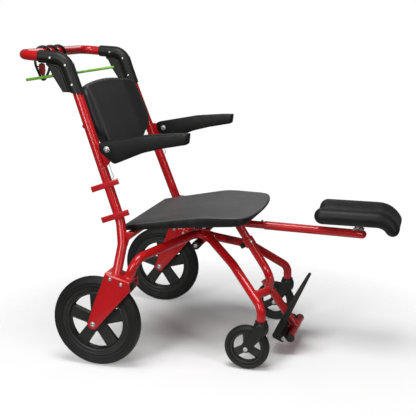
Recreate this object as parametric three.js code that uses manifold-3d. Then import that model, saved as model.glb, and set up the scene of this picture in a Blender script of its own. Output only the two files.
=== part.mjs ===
// Transport wheelchair: a bent-tube frame that nests into the next chair, two large rear wheels in
// plate forks, two swivel casters, a flip-up seat and armrests, folding footplates, a hand brake bar
// and a slide-out leg support with a tilting calf pad.
// Millimetres. While it is built, +X is forward, +Y is the sitter's left, +Z is up, and the origin
// is on the ground under the rear axle. The whole chair is then shifted along X so that the origin
// lies under the middle of the object.

import * as THREE from 'three';
import { mergeVertices } from 'three/addons/utils/BufferGeometryUtils.js';
import Module from 'manifold-3d';

const wasm = await Module();
wasm.setup();

// ---- driving dimensions ----

const GAP = 0.3; // between pieces that touch
const WALL = 2.2; // of the steel tubes
const TUBE_SIDES = 12;
const BORE_SIDES = 6;
const PLAY = 0.4; // between a pin or a tube and the bore it turns or slides in
const PIN = 4; // radius of the small pins

const REAR_WHEEL = { radius: 152.5, y: 334, rimRadius: 118, hubHalf: 34, openings: 5, segments: 24 };
const CASTER = { x: 532, y: 238, radius: 75, trail: 46, rimRadius: 56, top: 169, openings: 3,
  segments: 20 };
const BACK_TUBE = 16; // radii of the tubes
const UNDER_TUBE = 15;
const STRUT = 14.5;
const FOOT_TUBE = 14;
const LEG_STUB = 12.5;
const LEG_SLEEVE = 14.7;
const BRAKE_ROD = 4.75;
const CROSS_TUBE = 12.5;

const FORK_HALF = 40; // half the width of a rear fork
const FORK_PLATE = 3.2;
const FORK_TOP_REAR = [48, 332];
const FORK_TOP_FRONT = [132, 305];
const AXLE = 6; // radius of the rear axles

const LEAN = THREE.MathUtils.degToRad(19.84); // of the back tubes from upright
const SPREAD = 250; // of the back tubes' upper ends from the middle
const BACK_LOW = [68, -276, 478]; // on the back tube's straight stretch
const BACK_HIGH = [-81, -SPREAD, 891];
const ELBOW = [-121, -SPREAD, 1001];
const ELBOW_TOP = 1003; // height of the tubes' level ends inside the elbow covers
const HANDLE_SPLIT = -165; // x where the back tube ends and the handlebar starts
const JOINT_GAP = 3; // between those two tube ends, inside the elbow cover
const HANDLE = { x: -283, y: 246, z: 1011 };
const BRAKE_PIVOT = { x: -154, y: 234, z: 946, end: 254 };
const BRAKE_GRIP = { x: -277, y: 232, z: 927 };

const SEAT_HINGE = { x: 72, z: 417 };
const SEAT_THICK = { rear: 433, middle: 463 }; // heights of the seat's underside
const ARM_PIVOT = { x: 36, z: 719 };
const ARM = { inner: 258, outer: 302, slotInner: 265.4, slotOuter: 274.6, slotRadius: 62, bolt: 4.5 };
const RAIL = { z: 783, behind: 21.7, half: 245, radius: 7.2 }; // bar behind the backrest
const ARM_PLATE = { inner: 268, outer: 272 };

const STRUT_TOP = [398, 0, 423];
const STRUT_FOOT = [518, 0, 241];
const COLLAR_DROP = 69.5; // of the collar's middle below the strut's top
const FOOT_BAR = { x: 605, z: 65, half: 100 };
const FOOT_HINGE = { x: 583, z: 65 };
const FOOT_LEAN = THREE.MathUtils.degToRad(66);
const LEG_START = [404, 0, 431];
const LEG_END = [823, 0, 420];
const PAD_PIVOT = [811, 0, 452];
const PAD_HALF = 100; // half the widths of the calf pad and of its trough
const TROUGH_HALF = 46;
const FOOTPLATE = { inner: 21, outer: 112 };
const ROLLER = { x: 254, z: 350, radius: 15, half: 48 };

const finish = (color, roughness, metalness) =>
  new THREE.MeshStandardMaterial({ color, roughness, metalness });
const RED = finish(0xb5151c, 0.28, 0.1);
const BLACK = finish(0x1d1e1e, 0.55, 0);
const CHARCOAL = finish(0x3a3a3c, 0.6, 0);
const TYRE = finish(0x1b1b1c, 0.75, 0);
const STEEL = finish(0xc4c6c8, 0.3, 0.9);
const GREEN = finish(0x5fb32d, 0.35, 0);
const CORD = finish(0x161617, 0.6, 0);

// ---- shaping helpers ----

const vector = (point) => new THREE.Vector3(...point);

// Triangles in reading order, turned so that they face out of the solid.
function outward(geometry) {
  const flat = geometry.index ? geometry.toNonIndexed() : geometry;
  const place = flat.attributes.position;
  const corner = [0, 1, 2].map(() => new THREE.Vector3());
  let volume = 0;
  for (let i = 0; i < place.count; i += 3) {
    corner.forEach((c, k) => c.fromBufferAttribute(place, i + k));
    volume += corner[0].dot(corner[1].clone().cross(corner[2]));
  }
  if (volume > 0) return flat;
  for (let i = 0; i < place.count; i += 3) {
    corner.forEach((c, k) => c.fromBufferAttribute(place, i + k));
    place.setXYZ(i + 1, ...corner[2].toArray());
    place.setXYZ(i + 2, ...corner[1].toArray());
  }
  flat.computeVertexNormals();
  return flat;
}

function solid(geometry) {
  const bare = new THREE.BufferGeometry();
  bare.setAttribute('position', outward(geometry).attributes.position);
  const merged = mergeVertices(bare, 1e-4);
  const index = merged.index.array;
  const kept = [];
  for (let i = 0; i < index.length; i += 3) {
    const [a, b, c] = [index[i], index[i + 1], index[i + 2]];
    if (a !== b && b !== c && c !== a) kept.push(a, b, c);
  }
  return new wasm.Manifold(new wasm.Mesh({
    numProp: 3,
    vertProperties: merged.attributes.position.array,
    triVerts: Uint32Array.from(kept),
  }));
}

function skin(manifold) {
  const mesh = manifold.getMesh();
  const geometry = new THREE.BufferGeometry();
  geometry.setAttribute('position', new THREE.BufferAttribute(Float32Array.from(mesh.vertProperties), 3));
  geometry.setIndex(new THREE.BufferAttribute(Uint32Array.from(mesh.triVerts), 1));
  return geometry;
}

const join = (...parts) => skin(parts.map(solid).reduce((a, b) => a.add(b)));
const cut = (part, ...tools) => skin(tools.map(solid).reduce((a, b) => a.subtract(b), solid(part)));
const common = (a, b) => skin(solid(a).intersect(solid(b)));
const mirrored = (geometry) => outward(geometry.clone().scale(1, -1, 1));

// A line of straight stretches with round bends; each corner is [x, y, z, bend radius].
class BentLine extends THREE.Curve {
  constructor(corners, arcStep = 22) {
    super();
    this.places = [vector(corners[0].slice(0, 3))];
    this.headings = [];
    for (let i = 1; i < corners.length - 1; i++) {
      const [before, here, after] = [i - 1, i, i + 1].map((k) => vector(corners[k].slice(0, 3)));
      const inward = here.clone().sub(before).normalize();
      const onward = after.clone().sub(here).normalize();
      const side = onward.clone().addScaledVector(inward, -onward.dot(inward)).normalize();
      const turn = inward.angleTo(onward);
      const radius = corners[i][3];
      const start = here.clone().addScaledVector(inward, -radius * Math.tan(turn / 2));
      const steps = Math.max(1, Math.ceil(THREE.MathUtils.radToDeg(turn) / arcStep));
      if (i === 1) this.headings.push(inward.clone());
      for (let k = 0; k <= steps; k++) {
        const angle = (turn * k) / steps;
        this.places.push(start.clone()
          .addScaledVector(inward, radius * Math.sin(angle))
          .addScaledVector(side, radius * (1 - Math.cos(angle))));
        this.headings.push(inward.clone().multiplyScalar(Math.cos(angle))
          .addScaledVector(side, Math.sin(angle)));
      }
    }
    const last = vector(corners[corners.length - 1].slice(0, 3));
    const end = last.clone().sub(this.places[this.places.length - 1]).normalize();
    if (this.headings.length === 0) this.headings.push(end);
    this.places.push(last);
    this.headings.push(end);
  }

  get steps() {
    return this.places.length - 1;
  }

  getPoint(t, target = new THREE.Vector3()) {
    const at = t * this.steps;
    const k = Math.min(Math.floor(at + 1e-9), this.steps - 1);
    return target.lerpVectors(this.places[k], this.places[k + 1], at - k);
  }

  getPointAt(u, target) {
    return this.getPoint(u, target);
  }

  getTangentAt(u, target = new THREE.Vector3()) {
    return target.copy(this.headings[Math.round(u * this.steps)]);
  }

  getSpacedPoints(divisions) {
    return Array.from({ length: divisions + 1 }, (_, i) => this.getPoint(i / divisions));
  }
}

const polygon = (radius, sides) => Array.from({ length: sides }, (_, k) => {
  const angle = (2 * Math.PI * k) / sides;
  return new THREE.Vector2(radius * Math.cos(angle), radius * Math.sin(angle));
});

function rod(line, radius, sides = TUBE_SIDES) {
  const section = new THREE.Shape(polygon(radius, sides));
  return outward(new THREE.ExtrudeGeometry(section, { steps: line.steps, extrudePath: line }));
}

function tube(line, radius) {
  const section = new THREE.Shape(polygon(radius, TUBE_SIDES));
  section.holes.push(new THREE.Path(polygon(radius - WALL, BORE_SIDES)));
  return outward(new THREE.ExtrudeGeometry(section, { steps: line.steps, extrudePath: line }));
}

const straight = (from, to) => new BentLine([from, to]);

// Side outlines hold (x, z) and run across the chair from y = low to y = high.
function sidePlate(outline, low, high, curveSegments = 6) {
  const shape = outline instanceof THREE.Shape ? outline
    : new THREE.Shape(outline.map((p) => new THREE.Vector2(...p)));
  const depth = high - low;
  const geometry = new THREE.ExtrudeGeometry(shape, { depth, bevelEnabled: false, curveSegments });
  return outward(geometry.rotateX(Math.PI / 2).translate(0, high, 0));
}

// Plan outlines hold (x, y) and run from z = low to z = high.
function planPlate(shape, low, high, curveSegments = 6) {
  const depth = high - low;
  const geometry = new THREE.ExtrudeGeometry(shape, { depth, bevelEnabled: false, curveSegments });
  return outward(geometry.translate(0, 0, low));
}

// A round piece about a line along Y; the profile holds (radius, y) and closes on itself.
function turned(profile, segments, place = [0, 0, 0]) {
  const points = profile.map(([r, y]) => new THREE.Vector2(r, y));
  if (profile[0][0] > 0) points.push(points[0].clone());
  return outward(new THREE.LatheGeometry(points, segments).translate(...place));
}

// A bolt along Y with a head at each end.
function bolt(radius, head, headHeight, low, high, x, z) {
  return turned([
    [0, low - headHeight], [head, low - headHeight], [head, low], [radius, low],
    [radius, high], [head, high], [head, high + headHeight], [0, high + headHeight],
  ], 10, [x, 0, z]);
}

const pinTool = (radius, low, high, x, z) =>
  turned([[0, low], [radius, low], [radius, high], [0, high]], 16, [x, 0, z]);

// The outline of two discs with a tangent web between them.
function strapOutline(a, ra, b, rb) {
  const heading = Math.atan2(b[1] - a[1], b[0] - a[0]);
  const spread = Math.acos((ra - rb) / Math.hypot(b[0] - a[0], b[1] - a[1]));
  const shape = new THREE.Shape();
  shape.absarc(a[0], a[1], ra, heading + spread, heading - spread + 2 * Math.PI, false);
  shape.absarc(b[0], b[1], rb, heading - spread, heading + spread, false);
  return shape;
}

// ---- the assembly ----

const chair = new THREE.Group();

function add(name, geometry, material, parent = chair) {
  const mesh = new THREE.Mesh(geometry, material);
  mesh.name = name;
  parent.add(mesh);
  return mesh;
}

// The geometry is that of the right-hand side, at y < 0.
function addPair(name, geometry, material) {
  add(`${name}_right`, geometry, material);
  add(`${name}_left`, mirrored(geometry), material);
}

// ---- frame tubes ----

const backLine = new BentLine([
  [74.5, -339, 318], [83, -303, 411, 70], [...BACK_LOW, 90], [...BACK_HIGH, 200], [...ELBOW, 50],
  [HANDLE_SPLIT, -SPREAD, ELBOW_TOP],
]);
const underLine = new BentLine([
  [113, -334, 301], [134, -330, 371, 58], [263, 21, 389, 44], [411, -133, 319, 80],
  [CASTER.x, -CASTER.y, 214, 45], [CASTER.x, -CASTER.y, CASTER.top],
]);
const handleLine = new BentLine([
  [HANDLE_SPLIT - JOINT_GAP, -SPREAD, ELBOW_TOP], [HANDLE.x, -HANDLE.y, HANDLE.z, 44],
  [HANDLE.x, HANDLE.y, HANDLE.z, 44], [HANDLE_SPLIT - JOINT_GAP, SPREAD, ELBOW_TOP],
]);
const strutLine = new BentLine([
  STRUT_TOP, [...STRUT_FOOT, 62], [534, -154, 244, 36], [504, -214, 244],
]);
const postLine = straight([492, 0, 232], [607, 0, 72]);
const legHeading = vector(LEG_END).sub(vector(LEG_START)).normalize();
const alongLeg = (distance) => vector(LEG_START).addScaledVector(legHeading, distance).toArray();

// Everything below the top faces of the rear forks, where the frame tubes stop.
function belowForkTop(lift) {
  const run = new THREE.Vector2(...FORK_TOP_FRONT).sub(new THREE.Vector2(...FORK_TOP_REAR)).normalize();
  const up = new THREE.Vector2(-run.y, run.x);
  const reach = 90;
  const rear = new THREE.Vector2(...FORK_TOP_REAR).addScaledVector(up, lift).addScaledVector(run, -reach);
  const front = new THREE.Vector2(...FORK_TOP_FRONT).addScaledVector(up, lift).addScaledVector(run, reach);
  const floor = 60;
  return [rear.toArray(), front.toArray(), [front.x, floor], [rear.x, floor]];
}

const forkRoom = sidePlate(belowForkTop(GAP), -420, -200);

// A point on the back tube's straight stretch at height z.
function onBackTube(z) {
  const share = (z - BACK_LOW[2]) / (BACK_HIGH[2] - BACK_LOW[2]);
  return vector(BACK_LOW).lerp(vector(BACK_HIGH), share);
}

function armPlate() {
  const outline = [[-20, 735], [14, 734], [44, 729], [50, 714], [44, 694], [32, 670], [12, 654], [-2, 654]];
  const plate = sidePlate(outline, -ARM_PLATE.outer, -ARM_PLATE.inner);
  return cut(plate, pinTool(ARM.bolt + PLAY, -280, -260, ARM_PIVOT.x, ARM_PIVOT.z));
}

// A flat hook bar across the outside of the right back tube, square to it.
function hookBar(z) {
  const [length, height, thickness, rearShift] = [100, 19, 5, 5];
  const middle = onBackTube(z);
  const low = middle.y - BACK_TUBE - thickness + 2;
  return new THREE.BoxGeometry(length, thickness, height)
    .translate(-rearShift, 0, 0)
    .rotateY(-LEAN)
    .translate(middle.x, low + thickness / 2, middle.z);
}

const gusset = sidePlate([[87, 452], [120, 450], [105, 430], [96, 402], [87, 404]], -296, -292);
const backOuter = rod(backLine, BACK_TUBE);
const backBore = rod(backLine, BACK_TUBE - WALL, BORE_SIDES);
const backRight = cut(join(backOuter, armPlate(), gusset, hookBar(600), hookBar(501)), forkRoom);
const backLeft = mirrored(cut(join(backOuter, armPlate(), gusset), forkRoom));
add('back_tube_right', cut(backRight, backBore), RED);
add('back_tube_left', cut(backLeft, mirrored(backBore)), RED);
addPair('under_tube', cut(tube(underLine, UNDER_TUBE), forkRoom), RED);
add('handlebar', tube(handleLine, BACK_TUBE), RED);

const fatBack = rod(backLine, BACK_TUBE + GAP);
const fatUnder = rod(underLine, UNDER_TUBE + GAP);

// A straight tube between the two back tubes, notched to fit them.
function betweenBackTubes(x, z, reach, radius) {
  const bar = tube(straight([x, -reach, z], [x, reach, z]), radius);
  return cut(bar, fatBack, mirrored(fatBack));
}

add('seat_hinge_tube', betweenBackTubes(SEAT_HINGE.x, SEAT_HINGE.z, 296, CROSS_TUBE), RED);

// ---- rear forks, wheels and brakes ----

function forkOutline() {
  const shape = new THREE.Shape();
  shape.moveTo(...FORK_TOP_REAR);
  shape.lineTo(...FORK_TOP_FRONT);
  shape.lineTo(131, 277);
  shape.lineTo(87, 225);
  const [from, to] = [-50, -188].map(THREE.MathUtils.degToRad);
  shape.absarc(0, REAR_WHEEL.radius, 18, from, to, true);
  shape.lineTo(10, 235);
  shape.lineTo(38, 302);
  return shape;
}

function rearFork() {
  const [low, high] = [-REAR_WHEEL.y - FORK_HALF, -REAR_WHEEL.y + FORK_HALF];
  const inside = sidePlate(belowForkTop(-FORK_PLATE), low + FORK_PLATE, high - FORK_PLATE);
  const bore = pinTool(AXLE + PLAY, low - 5, high + 5, 0, REAR_WHEEL.radius);
  return cut(sidePlate(forkOutline(), low, high), inside, bore);
}

// A spoked disc: triangular openings between a hub and a rim ring.
function spokedRim(profile, openings, apex, base, halfDepth, segments) {
  const tools = Array.from({ length: openings }, (_, k) => {
    const middle = (2 * Math.PI * k) / openings + Math.PI / 2 + Math.PI / openings;
    const corner = (radius, angle) => {
      const turn = middle + THREE.MathUtils.degToRad(angle);
      return [radius * Math.cos(turn), radius * Math.sin(turn)];
    };
    const arc = [-1, -0.5, 0, 0.5, 1].map((s) => corner(base.radius, s * base.half));
    return sidePlate([corner(apex.radius, apex.half), corner(apex.radius, -apex.half), ...arc],
      -halfDepth, halfDepth);
  });
  return cut(turned(profile, segments), ...tools);
}

function rearRim() {
  const r = REAR_WHEEL.rimRadius - GAP;
  const half = REAR_WHEEL.hubHalf;
  const bore = AXLE + PLAY;
  const side = [[r, 17], [98, 17], [94, 9], [24, 9], [19, half], [bore, half]];
  const other = side.map(([radius, y]) => [radius, -y]).reverse();
  return spokedRim([...other, ...side], REAR_WHEEL.openings, { radius: 36, half: 6 },
    { radius: 93, half: 23 }, 20, REAR_WHEEL.segments);
}

function tyre(inner, outer, half, crown, segments) {
  const wall = outer - inner;
  const side = [
    [outer, crown], [outer - 0.12 * wall, 0.7 * half], [outer - 0.5 * wall, half], [inner, 0.84 * half],
  ];
  const other = side.map(([radius, y]) => [radius, -y]).reverse();
  return turned([...other, ...side], segments);
}

const rearWheelPlace = [0, -REAR_WHEEL.y, REAR_WHEEL.radius];
addPair('rear_fork', rearFork(), RED);
addPair('rear_rim', rearRim().translate(...rearWheelPlace), BLACK);
addPair('rear_tyre',
  tyre(REAR_WHEEL.rimRadius, REAR_WHEEL.radius, 21, 4, REAR_WHEEL.segments).translate(...rearWheelPlace),
  TYRE);
addPair('rear_axle', bolt(AXLE, 10, 5, -REAR_WHEEL.y - FORK_HALF - GAP, -REAR_WHEEL.y + FORK_HALF + GAP,
  0, REAR_WHEEL.radius), STEEL);

// A block that presses on the tread inside the fork, with a short push rod.
function brakeShoe() {
  const middle = THREE.MathUtils.degToRad(61.4);
  const corner = (radius, angle) => {
    const turn = middle + THREE.MathUtils.degToRad(angle);
    return [radius * Math.cos(turn), REAR_WHEEL.radius + radius * Math.sin(turn)];
  };
  const inner = [-9, -3, 3, 9].map((a) => corner(REAR_WHEEL.radius + 1, a));
  const outer = [9, -9].map((a) => corner(REAR_WHEEL.radius + 12, a));
  const block = sidePlate([...inner, ...outer], -REAR_WHEEL.y - 14, -REAR_WHEEL.y + 14);
  const [x1, z1] = corner(REAR_WHEEL.radius + 8, 0);
  const [x2, z2] = corner(REAR_WHEEL.radius + 24.5, 0);
  return join(block, rod(straight([x1, -REAR_WHEEL.y, z1], [x2, -REAR_WHEEL.y, z2]), 5));
}

addPair('brake_shoe', brakeShoe(), BLACK);

// ---- casters ----

const casterWheelPlace = [CASTER.x - CASTER.trail, -CASTER.y, CASTER.radius];
const CASTER_FORK_HALF = 25;

function casterFork() {
  const head = new THREE.LatheGeometry([
    [0, 116], [15, 118], [24, 132], [25, 150], [19, CASTER.top - PLAY],
    [6, CASTER.top - PLAY], [6, 203], [0, 203],
  ].map((p) => new THREE.Vector2(...p)), 12).rotateX(Math.PI / 2).translate(CASTER.x, -CASTER.y, 0);
  const wheelCentre = [casterWheelPlace[0], casterWheelPlace[2]];
  const legs = sidePlate(strapOutline(wheelCentre, 13, [CASTER.x - 2, 139], 21),
    -CASTER.y - CASTER_FORK_HALF, -CASTER.y + CASTER_FORK_HALF);
  const slot = turned([[0, -18.5], [79, -18.5], [79, 18.5], [0, 18.5]], 20, casterWheelPlace);
  const bore = pinTool(PIN + PLAY, -CASTER.y - 40, -CASTER.y + 40, ...wheelCentre);
  return cut(join(head, legs), slot, bore);
}

function casterRim() {
  const r = CASTER.rimRadius - GAP;
  const side = [[r, 11], [50, 11], [47, 5], [15, 5], [12, 16.5], [PIN + PLAY, 16.5]];
  const other = side.map(([radius, y]) => [radius, -y]).reverse();
  return spokedRim([...other, ...side], CASTER.openings, { radius: 19, half: 20 },
    { radius: 46, half: 44 }, 12, CASTER.segments);
}

addPair('caster_fork', casterFork(), BLACK);
addPair('caster_rim', casterRim().translate(...casterWheelPlace), BLACK);
addPair('caster_tyre',
  tyre(CASTER.rimRadius, CASTER.radius, 16, 6, CASTER.segments).translate(...casterWheelPlace), TYRE);
addPair('caster_axle', bolt(PIN, 7, 3, -CASTER.y - CASTER_FORK_HALF - GAP,
  -CASTER.y + CASTER_FORK_HALF + GAP, casterWheelPlace[0], casterWheelPlace[2]), STEEL);

// ---- elbow covers, brake bar ----

const brakeSocket = pinTool(BRAKE_ROD + 1, -BRAKE_PIVOT.end - 3, -225, BRAKE_PIVOT.x, BRAKE_PIVOT.z);

function elbowShell() {
  const sleeve = rod(new BentLine([[-79, -SPREAD, 886], [...ELBOW, 48], [-212, -SPREAD, 1006]]), 20.5);
  const web = sidePlate([
    [-60, 889], [-128, 893], [-160, 942], [-174, 971], [-196, 988], [-121, 1001], [-92, 985],
  ], -SPREAD - 12, -SPREAD + 10);
  const [loose, sides] = [BACK_TUBE + 1.8, 8]; // an octagon that clears the round tube
  const bridge = straight(
    [HANDLE_SPLIT + 8, -SPREAD, ELBOW_TOP], [HANDLE_SPLIT - 12, -SPREAD, ELBOW_TOP + 1],
  );
  const channel = [backLine, handleLine, bridge].map((line) => rod(line, loose, sides));
  return cut(join(sleeve, web), ...channel, brakeSocket);
}

// The part of a shell on one side of the tubes' own plane.
function halfOf(shell, low, high) {
  return common(shell, sidePlate([[-260, 860], [-20, 860], [-20, 1060], [-260, 1060]], low, high));
}

const elbow = elbowShell();
addPair('elbow_outer', halfOf(elbow, -SPREAD - 40, -SPREAD - GAP / 2), BLACK);
addPair('elbow_inner', halfOf(elbow, -SPREAD + GAP / 2, -SPREAD + 40), BLACK);

const brakeLine = new BentLine([
  [BRAKE_PIVOT.x, -BRAKE_PIVOT.end, BRAKE_PIVOT.z], [BRAKE_PIVOT.x, -BRAKE_PIVOT.y, BRAKE_PIVOT.z, 8],
  [BRAKE_GRIP.x, -BRAKE_GRIP.y, BRAKE_GRIP.z, 22], [BRAKE_GRIP.x, BRAKE_GRIP.y, BRAKE_GRIP.z, 22],
  [BRAKE_PIVOT.x, BRAKE_PIVOT.y, BRAKE_PIVOT.z, 8], [BRAKE_PIVOT.x, BRAKE_PIVOT.end, BRAKE_PIVOT.z],
], 30);
add('brake_bar', rod(brakeLine, BRAKE_ROD, 8), GREEN);

// ---- backrest ----

// The front outline of the backrest in its own plane: across the chair and up along the back tubes.
function backrestShape(inset) {
  const shape = new THREE.Shape();
  const low = 12 + inset;
  const high = 268 - inset;
  const width = (half) => half - inset;
  shape.moveTo(-100, low);
  shape.lineTo(100, low);
  shape.quadraticCurveTo(width(146), low, width(172), 40);
  shape.quadraticCurveTo(width(235), 78, width(237), 112);
  shape.quadraticCurveTo(width(237), 160, width(228), 212);
  shape.quadraticCurveTo(width(223), 247, width(180), 254);
  shape.quadraticCurveTo(95, high, 0, high);
  shape.quadraticCurveTo(-95, high, -width(180), 254);
  shape.quadraticCurveTo(-width(223), 247, -width(228), 212);
  shape.quadraticCurveTo(-width(237), 160, -width(237), 112);
  shape.quadraticCurveTo(-width(235), 78, -width(172), 40);
  shape.quadraticCurveTo(-width(146), low, -100, low);
  return shape;
}

const BACKREST_LOW = 670; // height of the lower edge
const backrest = new THREE.Group();
const backrestFoot = onBackTube(BACKREST_LOW);
backrest.position.set(backrestFoot.x, 0, BACKREST_LOW);
backrest.rotation.y = -LEAN;
chair.add(backrest);

// A slab in the backrest's plane, from `rear` to `front` ahead of the tube centres.
function backrestSlab(inset, rear, front) {
  const slab = planPlate(backrestShape(inset), 0, front - rear, 3);
  return slab.rotateZ(Math.PI / 2).rotateY(Math.PI / 2).translate(rear, 0, 0);
}

add('backrest_pad', backrestSlab(0, -8, 11), CHARCOAL, backrest);
add('backrest_shell', backrestSlab(12, -12, -8 - GAP), BLACK, backrest);
const railX = onBackTube(RAIL.z).x - RAIL.behind;
add('backrest_rail', betweenBackTubes(railX, RAIL.z, RAIL.half, RAIL.radius), RED);

// ---- armrests ----

const armOutline = [
  [14, 706], [56, 673.5], [64, 673.5], [156, 712], [218, 728], [284, 740], [299, 743],
  [303, 746], [304, 775], [262, 775.5], [161, 767], [10, 739], [9, 714],
];
const armSlot = pinTool(ARM.slotRadius, -ARM.slotOuter, -ARM.slotInner, ARM_PIVOT.x, ARM_PIVOT.z);
const armBore = pinTool(ARM.bolt + PLAY, -320, -240, ARM_PIVOT.x, ARM_PIVOT.z);
addPair('armrest', cut(sidePlate(armOutline, -ARM.outer, -ARM.inner), armSlot, armBore), BLACK);
addPair('arm_bolt', bolt(ARM.bolt, 9, 4, -ARM.outer - GAP, -ARM.inner + GAP, ARM_PIVOT.x, ARM_PIVOT.z),
  STEEL);

// ---- seat ----

function seatPlan() {
  const shape = new THREE.Shape();
  shape.moveTo(52, -218);
  shape.lineTo(300, -232);
  shape.lineTo(430, -213);
  shape.quadraticCurveTo(465, -207, 474, -165);
  shape.quadraticCurveTo(489, -80, 489, 0);
  shape.quadraticCurveTo(489, 80, 474, 165);
  shape.quadraticCurveTo(465, 207, 430, 213);
  shape.lineTo(300, 232);
  shape.lineTo(52, 218);
  return shape;
}

const seatProfile = [
  [50, SEAT_THICK.rear], [300, SEAT_THICK.middle], [430, 469], [462, 474], [482, 483],
  [490, 491], [484, 497], [468, 499], [330, 499], [290, 496], [50, 451],
];
add('seat_panel', common(planPlate(seatPlan(), 400, 520), sidePlate(seatProfile, -240, 240)), CHARCOAL);

function seatHinge() {
  const [rear, front, half] = [56, 90, 60];
  const under = (x) => SEAT_THICK.rear + ((x - 50) * (SEAT_THICK.middle - SEAT_THICK.rear)) / 250 - GAP;
  const outline = [[rear, 417], [front, 420], [front, under(front)], [rear, under(rear)]];
  const barrel = pinTool(16.5, -half, half, SEAT_HINGE.x, SEAT_HINGE.z);
  const bore = pinTool(CROSS_TUBE + 0.5, -half - 5, half + 5, SEAT_HINGE.x, SEAT_HINGE.z);
  return cut(join(sidePlate(outline, -half, half), barrel), bore);
}

add('seat_hinge', seatHinge(), BLACK);

// Welded where the two under tubes meet: a cap plate, a prop for the seat and a web for the roller.
function seatProp() {
  const cap = sidePlate([[252, 403.5], [302, 403.5], [302, 409], [252, 409]], -34, 34);
  const prop = rod(straight([286, 0, 405], [322, 0, 470]), 9);
  const above = sidePlate([[200, 450.6], [300, 462.6], [430, 468.6], [430, 520], [200, 520]], -60, 60);
  const webOutline = [[262, 406], [296, 406], [292, 366], [268, 344], [250, 342], [243, 354], [250, 366]];
  const web = sidePlate(webOutline, -2, 2);
  const bore = pinTool(PIN + PLAY, -10, 10, ROLLER.x, ROLLER.z);
  return cut(join(cap, prop, web), above, bore);
}

add('seat_prop', cut(seatProp(), fatUnder, mirrored(fatUnder)), RED);
const rollerProfile = [
  [PIN + PLAY, -ROLLER.half], [13, -ROLLER.half], [ROLLER.radius, -44], [ROLLER.radius, -9], [13, -5],
  [PIN + PLAY, -5],
];
add('nesting_roller', turned(rollerProfile, 16, [ROLLER.x, 0, ROLLER.z]), BLACK);
add('roller_pin', bolt(PIN, 7, 3, -ROLLER.half - GAP, 2 + GAP, ROLLER.x, ROLLER.z), STEEL);

// ---- centre strut, leg support ----

const stubLine = straight(alongLeg(0), alongLeg(232));
const fatStub = rod(stubLine, LEG_STUB + GAP);
const strutOuter = cut(rod(strutLine, STRUT), fatUnder, fatStub);
add('centre_strut', cut(strutOuter, rod(strutLine, STRUT - WALL, BORE_SIDES)), RED);

const buttonPlace = vector(alongLeg(77));
const buttonHole = new THREE.CylinderGeometry(4.4, 4.4, 20, 12).rotateX(Math.PI / 2)
  .translate(buttonPlace.x, 0, buttonPlace.z + 14);
add('leg_stub', cut(tube(stubLine, LEG_STUB), buttonHole), RED);
add('snap_button', new THREE.SphereGeometry(4, 10, 8).scale(1, 1, 1.9)
  .translate(buttonPlace.x, 0, buttonPlace.z + LEG_STUB - 2), BLACK);

// The sleeve that slides on the stub, closed by a round nose at its front end.
function legSleeve() {
  const length = vector(LEG_END).distanceTo(vector(LEG_START)) - 86;
  const bore = LEG_STUB + PLAY;
  const nose = [20, 45, 70].map(THREE.MathUtils.degToRad)
    .map((a) => [LEG_SLEEVE * Math.cos(a), length + LEG_SLEEVE * Math.sin(a)]);
  const profile = [[bore, 0], [LEG_SLEEVE, 0], [LEG_SLEEVE, length], ...nose, [0, length + LEG_SLEEVE],
    [0, length - 2], [bore, length - 2]];
  const points = [...profile, profile[0]].map((p) => new THREE.Vector2(...p));
  const lathe = new THREE.LatheGeometry(points, TUBE_SIDES);
  lathe.applyQuaternion(new THREE.Quaternion().setFromUnitVectors(new THREE.Vector3(0, 1, 0), legHeading));
  return outward(lathe.translate(...alongLeg(86)));
}

add('leg_sleeve', legSleeve(), RED);

function padBracket() {
  const top = LEG_END[2] + LEG_SLEEVE + GAP + 1.1;
  const cheek = [[790, top], [832, top], [832, top + 4], [820, 459], [802, 459], [790, top + 4]];
  const base = sidePlate([[786, top], [834, top], [834, top + 3], [786, top + 3]], -17, 17);
  const cheeks = [[-17, -14], [14, 17]].map(([low, high]) => sidePlate(cheek, low, high));
  return cut(join(base, ...cheeks), pinTool(PIN + PLAY, -30, 30, PAD_PIVOT[0], PAD_PIVOT[2]));
}

function padPlate() {
  const strip = sidePlate([[692, 467.4], [860, 463.4], [860, 466.8], [692, 470.8]], -30, 30);
  const lug = sidePlate(strapOutline([PAD_PIVOT[0], PAD_PIVOT[2]], 7.5, [PAD_PIVOT[0], 462], 7.4), -13, 13);
  const above = sidePlate([[780, 467], [840, 465.5], [840, 490], [780, 490]], -20, 20);
  return cut(join(strip, cut(lug, above)), pinTool(PIN + PLAY, -30, 30, PAD_PIVOT[0], PAD_PIVOT[2]));
}

const padOutline = [
  [671, 491], [676, 477], [688, 471.4], [868, 467], [892, 464], [910, 450], [923, 441], [934, 441],
  [941, 452], [941, 470], [933, 490], [915, 506], [889, 515], [697, 519], [682, 514], [673, 502],
];
const padTrough = [[640, 508], [880, 503], [960, 440], [990, 540], [640, 540]];
add('pad_bracket', padBracket(), STEEL);
add('pad_plate', padPlate(), STEEL);
add('calf_pad', cut(sidePlate(padOutline, -PAD_HALF, PAD_HALF),
  sidePlate(padTrough, -TROUGH_HALF, TROUGH_HALF)), BLACK);
const knobProfile = [
  [0, -38], [9, -38], [11, -34], [11, -24], [6, -22], [6, -17.3],
  [PIN, -17.3], [PIN, 17.3], [7, 17.3], [7, 21], [0, 21],
];
add('pad_knob', turned(knobProfile, 14, [PAD_PIVOT[0], 0, PAD_PIVOT[2]]), BLACK);

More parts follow.
